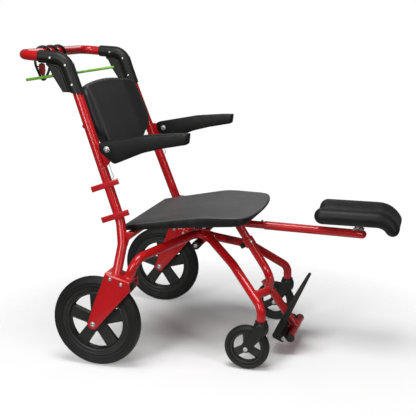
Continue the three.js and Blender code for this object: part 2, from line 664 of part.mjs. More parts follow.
// A collar round the strut with a sprung pull knob square to it.
const strutHeading = vector(STRUT_FOOT).sub(vector(STRUT_TOP)).normalize();
const pullHeading = new THREE.Vector3(strutHeading.z, 0, -strutHeading.x);
const collarPlace = vector(STRUT_TOP).addScaledVector(strutHeading, COLLAR_DROP);
const stretch = (heading, from, to) =>
  straight(...[from, to].map((d) => collarPlace.clone().addScaledVector(heading, d).toArray()));
const knobHole = rod(stretch(pullHeading, 10, 24), 3.6);
add('strut_collar', cut(
  rod(stretch(strutHeading, -15, 15), 19.5, 16),
  rod(stretch(strutHeading, -20, 20), STRUT + 0.6),
  knobHole,
), RED);
add('pull_knob', join(
  rod(stretch(pullHeading, STRUT + 1, 24), 3),
  rod(stretch(pullHeading, 20.5, 36), 9.5),
), BLACK);

// ---- foot assembly ----

const footBarLine = straight(
  [FOOT_BAR.x, -FOOT_BAR.half, FOOT_BAR.z], [FOOT_BAR.x, FOOT_BAR.half, FOOT_BAR.z],
);

function footBar() {
  const lug = strapOutline([FOOT_BAR.x, FOOT_BAR.z], 12, [FOOT_HINGE.x, FOOT_HINGE.z], 7.5);
  const lugs = [[-20, -15], [15, 20]].map(([low, high]) => sidePlate(lug, low, high));
  const reach = FOOT_BAR.half + 5;
  const bore = rod(straight([FOOT_BAR.x, -reach, FOOT_BAR.z], [FOOT_BAR.x, reach, FOOT_BAR.z]),
    FOOT_TUBE - WALL, BORE_SIDES);
  const hole = pinTool(PIN + PLAY, -30, 30, FOOT_HINGE.x, FOOT_HINGE.z);
  return cut(join(rod(footBarLine, FOOT_TUBE), ...lugs), bore, hole);
}

const fatStrut = rod(strutLine, STRUT + GAP);
add('foot_bar', footBar(), RED);
add('foot_post', cut(tube(postLine, FOOT_TUBE), fatStrut, rod(footBarLine, FOOT_TUBE + GAP)), RED);
add('foot_hinge_rod', bolt(PIN, 7.5, 4, -FOOTPLATE.outer - PLAY, FOOTPLATE.outer + PLAY,
  FOOT_HINGE.x, FOOT_HINGE.z), STEEL);

// The plate's section in its folded-down attitude, about its hinge line; it stands up at rest.
function footplate() {
  const [length, under, tip] = [173, 14.8, 11];
  const shape = new THREE.Shape();
  shape.moveTo(-15, -4);
  shape.lineTo(-6, -7.5);
  shape.absarc(0, 0, 7.5, -Math.PI / 2, 0, false);
  shape.lineTo(7.5, under);
  shape.lineTo(length, under);
  shape.lineTo(length + 5, under + tip / 2);
  shape.lineTo(length, under + tip);
  shape.lineTo(40, 37);
  shape.lineTo(-8, 39);
  shape.lineTo(-15, 32);
  const plate = sidePlate(shape, -FOOTPLATE.outer, -FOOTPLATE.inner, 3);
  const bored = cut(plate, pinTool(PIN + PLAY, -120, -10, 0, 0));
  return bored.rotateY(-FOOT_LEAN).translate(FOOT_HINGE.x, 0, FOOT_HINGE.z);
}

addPair('footplate', footplate(), BLACK);

// ---- origin under the middle of the object ----

chair.updateMatrixWorld(true);
const bounds = new THREE.Box3().setFromObject(chair);
chair.position.x = -(bounds.min.x + bounds.max.x) / 2;

// ---- tether cord on the handlebar ----

const CORD_RADIUS = 4.5;
const WINDING = { low: -102, high: 69 };
const windingOuter = BACK_TUBE + 2 * CORD_RADIUS + 0.6;

// A round body about the handlebar, as long as the winding plus `more` at each end.
function aroundHandle(inner, outer, more) {
  const [low, high] = [WINDING.low - more, WINDING.high + more];
  return turned([[inner, low], [outer, low], [outer, high], [inner, high]], 16, [HANDLE.x, 0, HANDLE.z]);
}

add('cord_winding', aroundHandle(BACK_TUBE + PLAY, windingOuter, 0), CORD);

// The free loop leaves the winding down its rear side and ends under the handlebar.
const loopLine = new BentLine([
  [-303.8, -99, 1002], [-302, -106, 972, 30], [-297, -62, 905, 22], [-294, -14, 948, 40], [-286, -22, 990],
], 24);
const fatWinding = aroundHandle(0, windingOuter + GAP, GAP);
add('cord_loop', cut(rod(loopLine, CORD_RADIUS, 8), fatWinding), CORD);

function cordTag() {
  const shape = new THREE.Shape();
  shape.moveTo(-97, 972);
  shape.quadraticCurveTo(-80, 975, -64, 969);
  shape.lineTo(-60, 951);
  shape.quadraticCurveTo(-64, 936, -72, 927);
  shape.quadraticCurveTo(-90, 942, -97, 955);
  return planPlate(shape, 0, 7, 4).rotateZ(Math.PI / 2).rotateY(Math.PI / 2).translate(-294.5, 0, 0);
}

add('cord_tag', cordTag(), RED);

export default chair;
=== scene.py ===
"""Looks of a nesting transport wheelchair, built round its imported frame.

Metres, in the frame's axes: +X forward, +Y the sitter's left, +Z up. Places are given from the ground
point under the rear axle, and at() moves them into the frame. Paired pieces are modelled on the right,
at y < 0, and mirrored.
"""
import math

import bmesh
import bpy
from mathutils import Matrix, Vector


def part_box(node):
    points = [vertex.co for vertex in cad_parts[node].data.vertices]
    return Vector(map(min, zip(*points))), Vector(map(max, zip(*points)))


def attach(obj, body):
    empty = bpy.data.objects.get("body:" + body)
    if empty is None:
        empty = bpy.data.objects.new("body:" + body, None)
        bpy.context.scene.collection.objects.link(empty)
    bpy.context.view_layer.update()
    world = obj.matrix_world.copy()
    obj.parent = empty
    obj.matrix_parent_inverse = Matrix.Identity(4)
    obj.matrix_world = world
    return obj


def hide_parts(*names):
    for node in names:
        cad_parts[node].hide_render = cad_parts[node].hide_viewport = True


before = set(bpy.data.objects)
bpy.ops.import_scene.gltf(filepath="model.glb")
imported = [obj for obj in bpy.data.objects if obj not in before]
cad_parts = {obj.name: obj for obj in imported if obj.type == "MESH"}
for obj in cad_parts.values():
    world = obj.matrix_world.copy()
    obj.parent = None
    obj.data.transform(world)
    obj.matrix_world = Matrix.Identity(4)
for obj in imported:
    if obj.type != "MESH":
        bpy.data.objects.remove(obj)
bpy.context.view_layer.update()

RIM_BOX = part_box("rear_rim_right")
AXLE_X = (RIM_BOX[0].x + RIM_BOX[1].x) / 2
TURN = 2 * math.pi
UP = Vector((0, 0, 1))
ACROSS = Vector((0, -1, 0))  # from the middle of the chair outwards, on the right


def at(x, y, z):
    """A place given from the ground point under the rear axle."""
    return Vector((AXLE_X + x, y, z))


def placed(name, data):
    """A new object, linked into the scene."""
    made = bpy.data.objects.new(name, data)
    bpy.context.scene.collection.objects.link(made)
    return made


def aim(made, place, heading):
    """Puts a camera or a light at a place, looking along a heading."""
    made.location = place
    made.rotation_mode = "QUATERNION"
    made.rotation_quaternion = heading.to_track_quat("-Z", "Y")


# ---- camera ----

def make_camera():
    data = bpy.data.cameras.new("camera")
    data.lens = 70.87
    data.sensor_width = 36.0
    data.clip_start = 0.05
    camera = placed("camera", data)
    aim(camera, at(1.043, -2.698, 1.122), Vector((-0.2632, 0.9383, -0.2243)))
    bpy.context.scene.camera = camera


make_camera()


# ---- lines and outlines ----

def bent_line(corners, arc_step=6.0):
    """Points along straight stretches with round bends; each corner is (x, y, z, bend radius)."""
    spots = [at(*corner[:3]) for corner in corners]
    points = [spots[0]]
    for k in range(1, len(spots) - 1):
        before, here, after = spots[k - 1:k + 2]
        inward = (here - before).normalized()
        onward = (after - here).normalized()
        side = (onward - inward * onward.dot(inward)).normalized()
        turn = inward.angle(onward)
        radius = corners[k][3]
        start = here - inward * (radius * math.tan(turn / 2))
        steps = max(2, math.ceil(math.degrees(turn) / arc_step))
        for step in range(steps + 1):
            angle = turn * step / steps
            along, aside = radius * math.sin(angle), radius * (1 - math.cos(angle))
            points.append(start + inward * along + side * aside)
    points.append(spots[-1])
    return points


def headings(points, closed=False):
    """The direction of a line of points at each of them."""
    count = len(points)
    found = []
    for k in range(count):
        before = points[k - 1] if closed or k else points[0]
        after = points[(k + 1) % count] if closed or k < count - 1 else points[-1]
        found.append((after - before).normalized())
    return found


def circle(centre, first, second, radius, count):
    """Points round a centre, in the plane of two directions square to each other."""
    angles = [TURN * k / count for k in range(count)]
    return [centre + (first * math.cos(a) + second * math.sin(a)) * radius for a in angles]


def square_to(heading):
    """Two directions square to a heading and to each other."""
    first = heading.orthogonal().normalized()
    return first, heading.cross(first)


def crosswise(centre, half):
    """The two ends of a bar straight across the chair."""
    return [centre - ACROSS * half, centre + ACROSS * half]


def rings(points, radius, sides, across=None, closed=False):
    """Circles of points round a line. Without `across` they keep from twisting as the line bends."""
    made = []
    normal = None
    for k, (point, heading) in enumerate(zip(points, headings(points, closed))):
        guide = across or normal or heading.orthogonal()
        normal = (guide - heading * guide.dot(heading)).normalized()
        size = radius(k) if callable(radius) else radius
        made.append(circle(point, normal, heading.cross(normal), size, sides))
    return made


def outline(start, *steps):
    """A flat outline. A step is (x, y) for a straight side, or (bend x, bend y, x, y) for a curve."""
    points = [Vector(start)]
    for step in steps:
        here = points[-1]
        end = Vector(step[-2:])
        if len(step) == 2:
            points.append(end)
            continue
        bend = Vector(step[:2])
        points += [
            here * (1 - t) ** 2 + bend * (2 * t * (1 - t)) + end * t ** 2
            for t in (k / 12 for k in range(1, 13))
        ]
    return points


def respaced(points, count):
    """The same closed outline with evenly spaced points."""
    ends = points[1:] + points[:1]
    lengths = [(b - a).length for a, b in zip(points, ends)]
    step = sum(lengths) / count
    found, k, passed = [], 0, 0.0
    for n in range(count):
        while passed + lengths[k] < n * step - 1e-9:
            passed += lengths[k]
            k += 1
        found.append(points[k].lerp(ends[k], (n * step - passed) / lengths[k]))
    return found


def softened(points, passes):
    """A closed loop of points with its corners rounded."""
    for _ in range(passes):
        count = len(points)
        points = [(points[k - 1] + points[k] * 2 + points[(k + 1) % count]) / 4 for k in range(count)]
    return points


def inset(points, distance):
    """A closed flat outline moved inwards."""
    count = len(points)
    area = sum(points[k - 1].x * points[k].y - points[k].x * points[k - 1].y for k in range(count))
    sign = 1 if area > 0 else -1
    moved = []
    for k in range(count):
        along = (points[(k + 1) % count] - points[k - 1]).normalized()
        moved.append(points[k] + Vector((-along.y, along.x)) * (sign * distance))
    return moved


def shrunk(points, share):
    """A closed flat outline scaled about its middle."""
    middle = sum(points, Vector((0, 0))) / len(points)
    return [middle + (p - middle) * share for p in points]


def profile(*places, blur=0.012):
    """A height as a function of x, from (x, height) places, with its corners blurred."""
    def level(x):
        for (x0, h0), (x1, h1) in zip(places, places[1:]):
            if x <= x1:
                return h0 + (h1 - h0) * max(0.0, x - x0) / (x1 - x0)
        return places[-1][1]

    return lambda x: sum(level(x + blur * shift) for shift in (-1, -0.5, 0, 0.5, 1)) / 5


def rounding(radius, steps=5):
    """(distance in from an edge, drop) pairs of a round edge, from the side to the top."""
    angles = [math.pi / 2 * k / steps for k in range(steps + 1)]
    return [(radius * (1 - math.cos(a)), radius * (1 - math.sin(a))) for a in angles]


def two_halves(half, across, along):
    """A closed outline from one half of it. `across` and `along`, 1 or -1, mirror it into the other."""
    return half + [Vector((p.x * across, p.y * along)) for p in half[-2::-1]]


def arc(x, z, radius, start, end, steps):
    """Points of a round stretch about (x, z), between two angles in degrees."""
    angles = [math.radians(start + (end - start) * k / steps) for k in range(steps + 1)]
    return [(x + radius * math.cos(a), z + radius * math.sin(a)) for a in angles]


# ---- shapes ----

class Shape:
    """A mesh in the making: closed skins of points and faces."""

    def __init__(self):
        self.points = []
        self.faces = []

    def sides(self, loops, closed=False):
        """Faces between loops of equal length. Gives back the number of their first point."""
        base, count, rows = len(self.points), len(loops[0]), len(loops)
        for loop in loops:
            self.points += loop
        for row in range(rows if closed else rows - 1):
            here, there = base + row * count, base + (row + 1) % rows * count
            for k in range(count):
                after = (k + 1) % count
                self.faces.append((here + k, here + after, there + after, there + k))
        return base

    def loft(self, loops, closed=False):
        """A skin over loops of equal length; its ends are filled unless it closes on itself."""
        base, count = self.sides(loops, closed), len(loops[0])
        if not closed:
            for first in (base, len(self.points) - count):
                self.faces.append(tuple(range(first, first + count)))
        return self

    def rod(self, points, radius, sides=36, end_round=0.0):
        """A round bar along points, with its end edges rounded off."""
        def cap(end, heading, loop):
            return [
                [end + (p - end) * (1 - d / radius) + heading * (end_round - drop) for p in loop]
                for d, drop in rounding(end_round)
            ]

        loops = rings(points, radius, sides)
        if end_round:
            ways = headings(points)
            head = cap(points[0], -ways[0], loops[0])
            loops = head[::-1] + loops[1:-1] + cap(points[-1], ways[-1], loops[-1])
        return self.loft(loops)

    def turned(self, places, centre, heading, segments=64, closed=False):
        """A round piece about a line; places are (radius, distance along the heading)."""
        ways = square_to(heading)
        loops = [circle(centre + heading * along, *ways, radius, segments) for radius, along in places]
        return self.loft(loops, closed)

    def doubled(self, half_profile, centre, segments, heading=ACROSS):
        """A closed round body that is the same on both sides of its middle plane."""
        other = [(radius, -along) for radius, along in reversed(half_profile)]
        return self.turned([*other, *half_profile], centre, heading, segments, closed=True)

    def plate(self, sides, low, high):
        """An (x, z) outline from y = low to y = high."""
        return self.loft([[at(x, y, z) for x, z in sides] for y in (low, high)])

    def bead(self, points, size=0.0021, closed=True):
        """A rippled weld bead along a line of points, round and round if it is closed."""
        count = len(points)
        across = (points[0] - points[count // 2]).cross(points[count // 4] - points[0]).normalized()
        ripple = [size * (0.86 + 0.14 * math.cos(k * TURN / 3)) for k in range(count)]
        if not closed:
            ripple[0] = ripple[-1] = size * 0.3
        return self.loft(rings(points, lambda k: ripple[k], 10, across, closed), closed)

    def weld(self, start, heading, radius, inside, size=0.0021, reach=0.07):
        """Beads where a tube's skin, followed along its heading, runs into a neighbour."""
        runs = [[]]
        for side in circle(start, *square_to(heading), radius, 48):
            met = next((n for n in range(64) if inside(side + heading * (reach * n / 63))), 0)
            if not met:
                runs.append([])
                continue
            low, high = reach * (met - 1) / 63, reach * met / 63
            for _ in range(8):
                middle = (low + high) / 2
                if inside(side + heading * middle):
                    high = middle
                else:
                    low = middle
            runs[-1].append(side + heading * low)
        if len(runs) == 1:
            return self.bead(runs[0], size)
        runs[-1] += runs.pop(0)
        for run in runs:
            if len(run) > 4:
                self.bead(run, size, False)
        return self

    def bolt_head(self, centre, heading, radius, height):
        """A domed head with a hexagon socket, standing on `centre`."""
        def ring(size, lift):
            return circle(centre + heading * (height * lift), *square_to(heading), radius * size, 36)

        dome = ((1, 0), (1, 0.35), (0.97, 0.5), (0.9, 0.7), (0.78, 0.87), (0.66, 0.96))
        loops = [ring(*place) for place in dome]
        for size, lift in ((0.47, 1), (0.435, 0.95), (0.422, 0.4)):
            middle = centre + heading * (height * lift)
            loops.append([
                middle + (p - middle) / math.cos(TURN * k / 36 % (TURN / 6) - TURN / 12)
                for k, p in enumerate(ring(size, lift))
            ])
        return self.loft(loops)

    def through_bolt(self, centre, pin, foot, head, washer=None, pin_sides=28, washer_sides=40):
        """A pin (radius, half length) across the chair with a head (radius, height) at each end.

        The heads stand `foot` from the centre, on washers (radius, thickness, top radius) if asked.
        """
        radius, half = pin
        self.turned([(radius, -half), (radius, half)], centre, ACROSS, pin_sides)
        for heading in (ACROSS, -ACROSS):
            base = centre + heading * foot
            if washer:
                wide, thick, top = washer
                self.turned([(wide, 0), (wide, thick), (top, thick + 0.0002)], base, heading, washer_sides)
                base += heading * thick
            self.bolt_head(base, heading, *head)
        return self

    def mirrored(self):
        """The same shape on the other side of the chair."""
        other = Shape()
        other.points = [Vector((p.x, -p.y, p.z)) for p in self.points]
        other.faces = list(self.faces)
        return other


def object_of(name, shape):
    """A Blender object of a shape, with its faces turned outwards."""
    mesh = bpy.data.meshes.new(name)
    mesh.from_pydata([tuple(p) for p in shape.points], [], shape.faces)
    tidy = bmesh.new()
    tidy.from_mesh(mesh)
    bmesh.ops.remove_doubles(tidy, verts=tidy.verts, dist=1e-6)
    bmesh.ops.recalc_face_normals(tidy, faces=tidy.faces)
    tidy.to_mesh(mesh)
    tidy.free()
    return placed(name, mesh)


def left_copy(made):
    """A mirrored copy of a right-hand object."""
    other = placed(made.name.replace("right", "left"), made.data.copy())
    for vertex in other.data.vertices:
        vertex.co.y = -vertex.co.y
    other.data.flip_normals()
    return other


def settle(made):
    """Applies an object's modifiers to its mesh."""
    shaped = bpy.data.meshes.new_from_object(made.evaluated_get(bpy.context.evaluated_depsgraph_get()))
    made.modifiers.clear()
    made.data = shaped


def carve(made, tool):
    """Cuts a shape out of an object."""
    cutter = object_of("cutter", tool)
    cut = made.modifiers.new("cut", "BOOLEAN")
    cut.operation = "DIFFERENCE"
    cut.object = cutter
    settle(made)
    bpy.data.objects.remove(cutter)


def finish_piece(made, material, body, nodes, edge=0.0, crease=35.0):
    """Rounds an object's edges, shades it, paints it and puts it on its body."""
    if edge:
        rounded = made.modifiers.new("edges", "BEVEL")
        rounded.width = edge
        rounded.segments = 3
        rounded.limit_method = "ANGLE"
        rounded.angle_limit = math.radians(crease)
        settle(made)
    for face in made.data.polygons:
        face.use_smooth = True
    made.data.set_sharp_from_angle(angle=math.radians(crease))
    made.data.materials.clear()
    made.data.materials.append(material)
    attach(made, body)
    if nodes:
        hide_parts(*nodes)
    return made


def finish_pair(made, material, body, node_name, **look):
    """Finishes a right-hand object and its mirrored copy; {} in a name is the side."""
    for side, form in (("right", made), ("left", left_copy(made))):
        finish_piece(form, material, body.format(side), [node_name.format(side)], **look)


def piece(name, shape, material, body="frame", nodes=None, **look):
    """A finished object that stands for the CAD node of the same name, unless `nodes` says otherwise."""
    stands_for = [name] if nodes is None else nodes
    return finish_piece(object_of(name + "_visual", shape), material, body, stands_for, **look)


def pair(name, shape, material, body="frame", nodes=None, **look):
    """Right and left copies; {} in a body's name is the side."""
    for side, form in (("right", shape), ("left", shape.mirrored())):
        piece(f"{name}_{side}", form, material, body.format(side), nodes, **look)


def moulded(name, shape, voxel, passes):
    """One smooth skin over a shape's overlapping parts, with soft inner corners."""
    made = object_of(name, shape)
    skin = made.modifiers.new("skin", "REMESH")
    skin.mode = "VOXEL"
    skin.voxel_size = voxel
    soften = made.modifiers.new("soften", "SMOOTH")
    soften.factor = 0.5
    soften.iterations = passes
    settle(made)
    return made


# ---- materials ----

def node(tree, kind, **settings):
    made = tree.nodes.new("ShaderNode" + kind)
    for name, value in settings.items():
        if hasattr(made, name):
            setattr(made, name, value)
        else:
            made.inputs[name.replace("_", " ")].default_value = value
    return made


def noise(tree, where, scale, detail=4.0, stretch=None):
    """A noise value over the piece's own coordinates, drawn out along one axis if asked."""
    made = node(tree, "TexNoise", Scale=scale, Detail=detail)
    if stretch:
        mapping = node(tree, "Mapping")
        mapping.inputs["Scale"].default_value = stretch
        tree.links.new(where, mapping.inputs["Vector"])
        where = mapping.outputs["Vector"]
    tree.links.new(where, made.inputs["Vector"])
    return made.outputs["Fac"]


def between(tree, value, low, high, start=0.35, end=0.65):
    """A value spread over a range."""
    made = node(tree, "MapRange")
    for name, number in (("From Min", start), ("From Max", end), ("To Min", low), ("To Max", high)):
        made.inputs[name].default_value = number
    tree.links.new(value, made.inputs["Value"])
    return made.outputs["Result"]


def blend_color(tree, amount, first, second):
    """A mix of two colours, each a tuple or a socket."""
    made = node(tree, "Mix", data_type="RGBA")
    tree.links.new(amount, made.inputs["Factor"])
    for place, color in ((6, first), (7, second)):
        if isinstance(color, tuple):
            made.inputs[place].default_value = (*color, 1)
        else:
            tree.links.new(color, made.inputs[place])
    return made.outputs[2]


def surface(slot, dark, light, rough, cloud=9.0, relief=(), wear_and_edge_highlight=None, stretch=None, **fixed):
    """A procedural finish for a record slot.

    dark and light are the ends of its slow colour drift and rough the ends of its roughness. relief lists
    (kind, scale, depth in metres) bumps. The edge argument is a (colour, share) pair for exposed edges, which
    stands partly for wear and partly for a painted highlight. fixed sets plain sockets.
    """
    made = bpy.data.materials.new(slot)
    made.use_nodes = True
    made["slot"] = slot
    tree = made.node_tree
    shader = tree.nodes["Principled BSDF"]
    for name, value in fixed.items():
        shader.inputs[name.replace("_", " ")].default_value = value
    where = node(tree, "TexCoord").outputs["Object"]
    drift = noise(tree, where, cloud, 5.0, stretch)
    color = blend_color(tree, between(tree, drift, 0, 1), dark, light)
    speck = noise(tree, where, cloud * 60, 2.0, stretch)
    bright = tuple(c * 1.5 + 0.012 for c in light)
    color = blend_color(tree, between(tree, speck, 0, 0.16, 0.5, 0.8), color, bright)
    # Painted highlight and wear: exposed edges, found by pointiness, are lightened towards the edge colour.
    if wear_and_edge_highlight:
        edges = between(tree, node(tree, "NewGeometry").outputs["Pointiness"], 0, wear_and_edge_highlight[1], 0.52, 0.62)
        color = blend_color(tree, edges, color, wear_and_edge_highlight[0])
    tree.links.new(color, shader.inputs["Base Color"])
    patches = noise(tree, where, cloud * 4, 6.0, stretch)
    tree.links.new(between(tree, patches, *rough), shader.inputs["Roughness"])
    last = None
    for kind, scale, depth in relief:
        if kind == "cells":
            source = node(tree, "TexVoronoi", feature="SMOOTH_F1", Scale=scale)
            tree.links.new(where, source.inputs["Vector"])
            height = source.outputs["Distance"]
        else:
            height = noise(tree, where, scale, 3.0, stretch)
        bump = node(tree, "Bump")
        bump.inputs["Strength"].default_value = 1.0
        bump.inputs["Distance"].default_value = depth
        tree.links.new(height, bump.inputs["Height"])
        if last:
            tree.links.new(last, bump.inputs["Normal"])
        last = bump.outputs["Normal"]
    if last:
        tree.links.new(last, shader.inputs["Normal"])
    return made


# Each finish's edge colour below is lighter than its body: partly wear, partly a painted highlight on exposed
# edges.
RED = surface("red_frame", (0.4, 0.004, 0.006), (0.48, 0.006, 0.009), (0.22, 0.32),
              relief=[("noise", 140, 0.00003)], wear_and_edge_highlight=((0.6, 0.05, 0.05), 0.4),
              Coat_Weight=0.55, Coat_Roughness=0.05, Specular_IOR_Level=0.2)
PLASTIC = surface("black_plastic", (0.0075, 0.008, 0.0072), (0.013, 0.0132, 0.0122), (0.4, 0.54),
                  relief=[("cells", 900, 0.00012), ("noise", 90, 0.00012)], wear_and_edge_highlight=((0.035, 0.035, 0.033), 0.6),
                  Specular_IOR_Level=0.28)
ARM_PLASTIC = surface("armrest_plastic", (0.0035, 0.0038, 0.0034), (0.0062, 0.0063, 0.0059), (0.36, 0.48),
                      relief=[("cells", 620, 0.00005)], wear_and_edge_highlight=((0.03, 0.03, 0.029), 0.6),
                      Specular_IOR_Level=0.2)
WHEEL_PLASTIC = surface("wheel_plastic", (0.0075, 0.008, 0.0072), (0.0135, 0.0138, 0.0128), (0.36, 0.5),
                        relief=[("noise", 500, 0.0001)], wear_and_edge_highlight=((0.04, 0.04, 0.038), 0.6),
                        Specular_IOR_Level=0.42)
TYRE = surface("tyre", (0.007, 0.0074, 0.0068), (0.0115, 0.0118, 0.011), (0.48, 0.64),
               relief=[("noise", 420, 0.00014)], wear_and_edge_highlight=((0.03, 0.03, 0.029), 0.5), Specular_IOR_Level=0.24)
RUBBER = surface("buffer_rubber", (0.0055, 0.0056, 0.0053), (0.01, 0.01, 0.0094), (0.55, 0.7),
                 relief=[("noise", 600, 0.00012)], Specular_IOR_Level=0.35)
# The seat top: the same plastic as the black seat sides, painted lighter grey as painted light from above.
SEAT_PAINTED_LIT_TOP = surface("seat_plastic", (0.072, 0.072, 0.073), (0.08, 0.08, 0.081), (0.42, 0.52), cloud=4.0,
               relief=[("cells", 800, 0.0001)])
SEAT_SIDE = surface("seat_plastic", (0.0055, 0.0056, 0.0053), (0.009, 0.009, 0.0086), (0.34, 0.46),
                    relief=[("cells", 900, 0.00008)], Specular_IOR_Level=0.35)
BACK_SKIN = surface("backrest_skin", (0.009, 0.009, 0.0096), (0.013, 0.013, 0.0138), (0.44, 0.56), cloud=4.0,
                    relief=[("cells", 750, 0.0001)], Specular_IOR_Level=0.38, Sheen_Weight=0.04)
PAD_SKIN = surface("pad_skin", (0.0055, 0.0055, 0.0058), (0.0085, 0.0085, 0.0089), (0.42, 0.54), cloud=6.0,
                   relief=[("cells", 850, 0.0001)], Specular_IOR_Level=0.26, Sheen_Weight=0.02)
STEEL = surface("steel", (0.46, 0.46, 0.45), (0.62, 0.62, 0.61), (0.32, 0.48), cloud=60.0,
                relief=[("noise", 500, 0.00002)], stretch=(1, 6, 1), Metallic=1.0)
GREEN = surface("green_rod", (0.15, 0.42, 0.022), (0.2, 0.5, 0.032), (0.24, 0.34),
                relief=[("noise", 300, 0.0001)], Coat_Weight=0.3, Coat_Roughness=0.1)
CORD_SKIN = surface("cord", (0.005, 0.005, 0.0052), (0.0085, 0.0085, 0.0088), (0.34, 0.46),
                    relief=[("cells", 700, 0.00018)], Specular_IOR_Level=0.4)
TAG_RED = surface("red_tag", (0.42, 0.008, 0.012), (0.52, 0.015, 0.018), (0.18, 0.28),
                  relief=[("noise", 200, 0.0001)], Coat_Weight=0.5)


# ---- tether cord on the handlebar ----

HANDLE = at(-0.283, 0.246, 1.011)
CORD = 0.009
WINDING_RADIUS = 0.0208
WINDING_PITCH = 0.0585
WINDING_TURNS = 2.75
FIRST_TOP = 0.035  # y where the winding first passes over the handlebar
TAG_FACES = (-0.2942, -0.2878)  # the x of the tag's two faces
TAG_OUTLINE = respaced(outline(
    (-0.097, 0.972), (-0.08, 0.975, -0.064, 0.969), (-0.06, 0.951), (-0.064, 0.936, -0.072, 0.927),
    (-0.09, 0.942, -0.097, 0.955),
), 64)


def cord_route():
    """The winding round the handlebar, then the free loop that carries the tag."""
    winding = []
    turn_steps = 20
    for k in range(int(WINDING_TURNS * turn_steps) + 1):
        angle = TURN * (k / turn_steps - 0.5)
        winding.append(Vector((
            HANDLE.x - WINDING_RADIUS * math.sin(angle),
            FIRST_TOP - WINDING_PITCH * angle / TURN,
            HANDLE.z + WINDING_RADIUS * math.cos(angle),
        )))
    return winding + bent_line([
        (-0.3038, -0.1006, 1.003), (-0.302, -0.106, 0.972, 0.03), (-0.297, -0.062, 0.905, 0.022),
        (-0.294, -0.014, 0.948, 0.04), (-0.286, -0.022, 0.9895),
    ], 8)


def make_cord():
    route = cord_route()
    shape = Shape().rod(route, CORD / 2, 16, 0.001)
    cord = piece("cord", shape, CORD_SKIN, nodes=["cord_winding", "cord_loop"])
    plate = Shape().loft([[at(x, y, z) for y, z in TAG_OUTLINE] for x in TAG_FACES])
    tag = piece("tag_plate", plate, TAG_RED, nodes=["cord_tag"], edge=0.0012)
    rim = [at(-0.2888, y, z) for y, z in inset(TAG_OUTLINE, -0.0006)]
    trim = Shape().loft(rings(rim, 0.0017, 10, Vector((1, 0, 0)), True), True)
    trim.rod([at(-0.2945, -0.0935, 0.963), at(-0.306, -0.0945, 0.965)], 0.0022, 12)
    border = piece("tag_border", trim, PLASTIC, nodes=[])


make_cord()


# ---- frame tubes ----

LEAN = math.radians(19.84)
BACK_TUBE = 0.016
UNDER_TUBE = 0.015
STRUT = 0.0145
FOOT_TUBE = 0.014
CROSS_TUBE = 0.0125
BACK_LOW = at(0.068, -0.276, 0.478)
BACK_HIGH = at(-0.081, -0.25, 0.891)
SEAT_HINGE = at(0.072, 0, 0.417)
ROLLER = at(0.254, 0, 0.35)
FORK_TOP = (at(0.048, -0.334, 0.332), at(0.132, -0.334, 0.305))

BACK_LINE = bent_line([
    (0.0745, -0.339, 0.318), (0.083, -0.303, 0.411, 0.07), (0.068, -0.276, 0.478, 0.09),
    (-0.081, -0.25, 0.891, 0.2), (-0.121, -0.25, 1.001, 0.05), (-0.165, -0.25, 1.003),
])
UNDER_LINE = bent_line([
    (0.113, -0.334, 0.301), (0.134, -0.33, 0.371, 0.058), (0.263, 0.021, 0.389, 0.044),
    (0.411, -0.133, 0.319, 0.08), (0.532, -0.238, 0.214, 0.045), (0.532, -0.238, 0.169),
], 5)
HANDLE_LINE = bent_line([
    (-0.168, -0.25, 1.003), (-0.283, -0.246, 1.011, 0.044), (-0.283, 0.246, 1.011, 0.044),
    (-0.168, 0.25, 1.003),
])
STRUT_LINE = bent_line([
    (0.398, 0, 0.423), (0.518, 0, 0.241, 0.062), (0.534, -0.154, 0.244, 0.036), (0.504, -0.214, 0.244),
], 5)
POST_LINE = bent_line([(0.492, 0, 0.232), (0.607, 0, 0.072)])
BRAKE_LINE = bent_line([
    (-0.154, -0.254, 0.946), (-0.154, -0.234, 0.946, 0.008), (-0.277, -0.232, 0.927, 0.022),
    (-0.277, 0.232, 0.927, 0.022), (-0.154, 0.234, 0.946, 0.008), (-0.154, 0.254, 0.946),
], 8)


def onto_plane(loop, heading, point, normal):
    """A ring slid along a heading until it lies in a plane."""
    return [p + heading * ((point - p).dot(normal) / heading.dot(normal)) for p in loop]


def fork_plane():
    run = (FORK_TOP[1] - FORK_TOP[0]).normalized()
    return FORK_TOP[0], Vector((-run.z, 0, run.x))


def tube_from_fork(line, radius):
    """A frame tube that starts on the sloping top of the rear fork, with its weld."""
    loops = rings(line, radius, 40)
    loops[0] = onto_plane(loops[0], headings(line)[0], *fork_plane())
    shape = Shape().loft(loops)
    ring = rings(line[:2], radius, 48)[0]
    return shape.bead(onto_plane(ring, headings(line)[0], *fork_plane()), 0.0026)


def in_tube(line, radius):
    """A test of whether a point lies in a tube."""
    def inside(point):
        for a, b in zip(line, line[1:]):
            share = max(0.0, min(1.0, (point - a).dot(b - a) / (b - a).length_squared))
            if (point - a.lerp(b, share)).length < radius:
                return True
        return False

    return inside


def on_back_tube(z):
    return BACK_LOW.lerp(BACK_HIGH, (z - BACK_LOW.z) / (BACK_HIGH.z - BACK_LOW.z))


ARM_PLATE = [
    (-0.02, 0.735), (0.014, 0.734), (0.034, 0.7325), (0.044, 0.729), (0.0495, 0.722), (0.05, 0.714),
    (0.049, 0.704), (0.044, 0.694), (0.032, 0.67), (0.024, 0.661), (0.012, 0.654), (-0.002, 0.654),
]
GUSSET = [(0.078, 0.452), (0.12, 0.45), (0.105, 0.43), (0.096, 0.402), (0.078, 0.404)]


def hook_bar(shape, z):
    """A flat bar across the outside of the right back tube, square to it."""
    middle = on_back_tube(z)
    low = middle.y - BACK_TUBE - 0.003
    corners = []
    for along, up in ((-0.055, -0.0095), (0.045, -0.0095), (0.045, 0.0095), (-0.055, 0.0095)):
        corners.append((middle.x - AXLE_X + along * math.cos(LEAN) - up * math.sin(LEAN),
                        z + along * math.sin(LEAN) + up * math.cos(LEAN)))
    shape.plate(corners, low, low + 0.005)


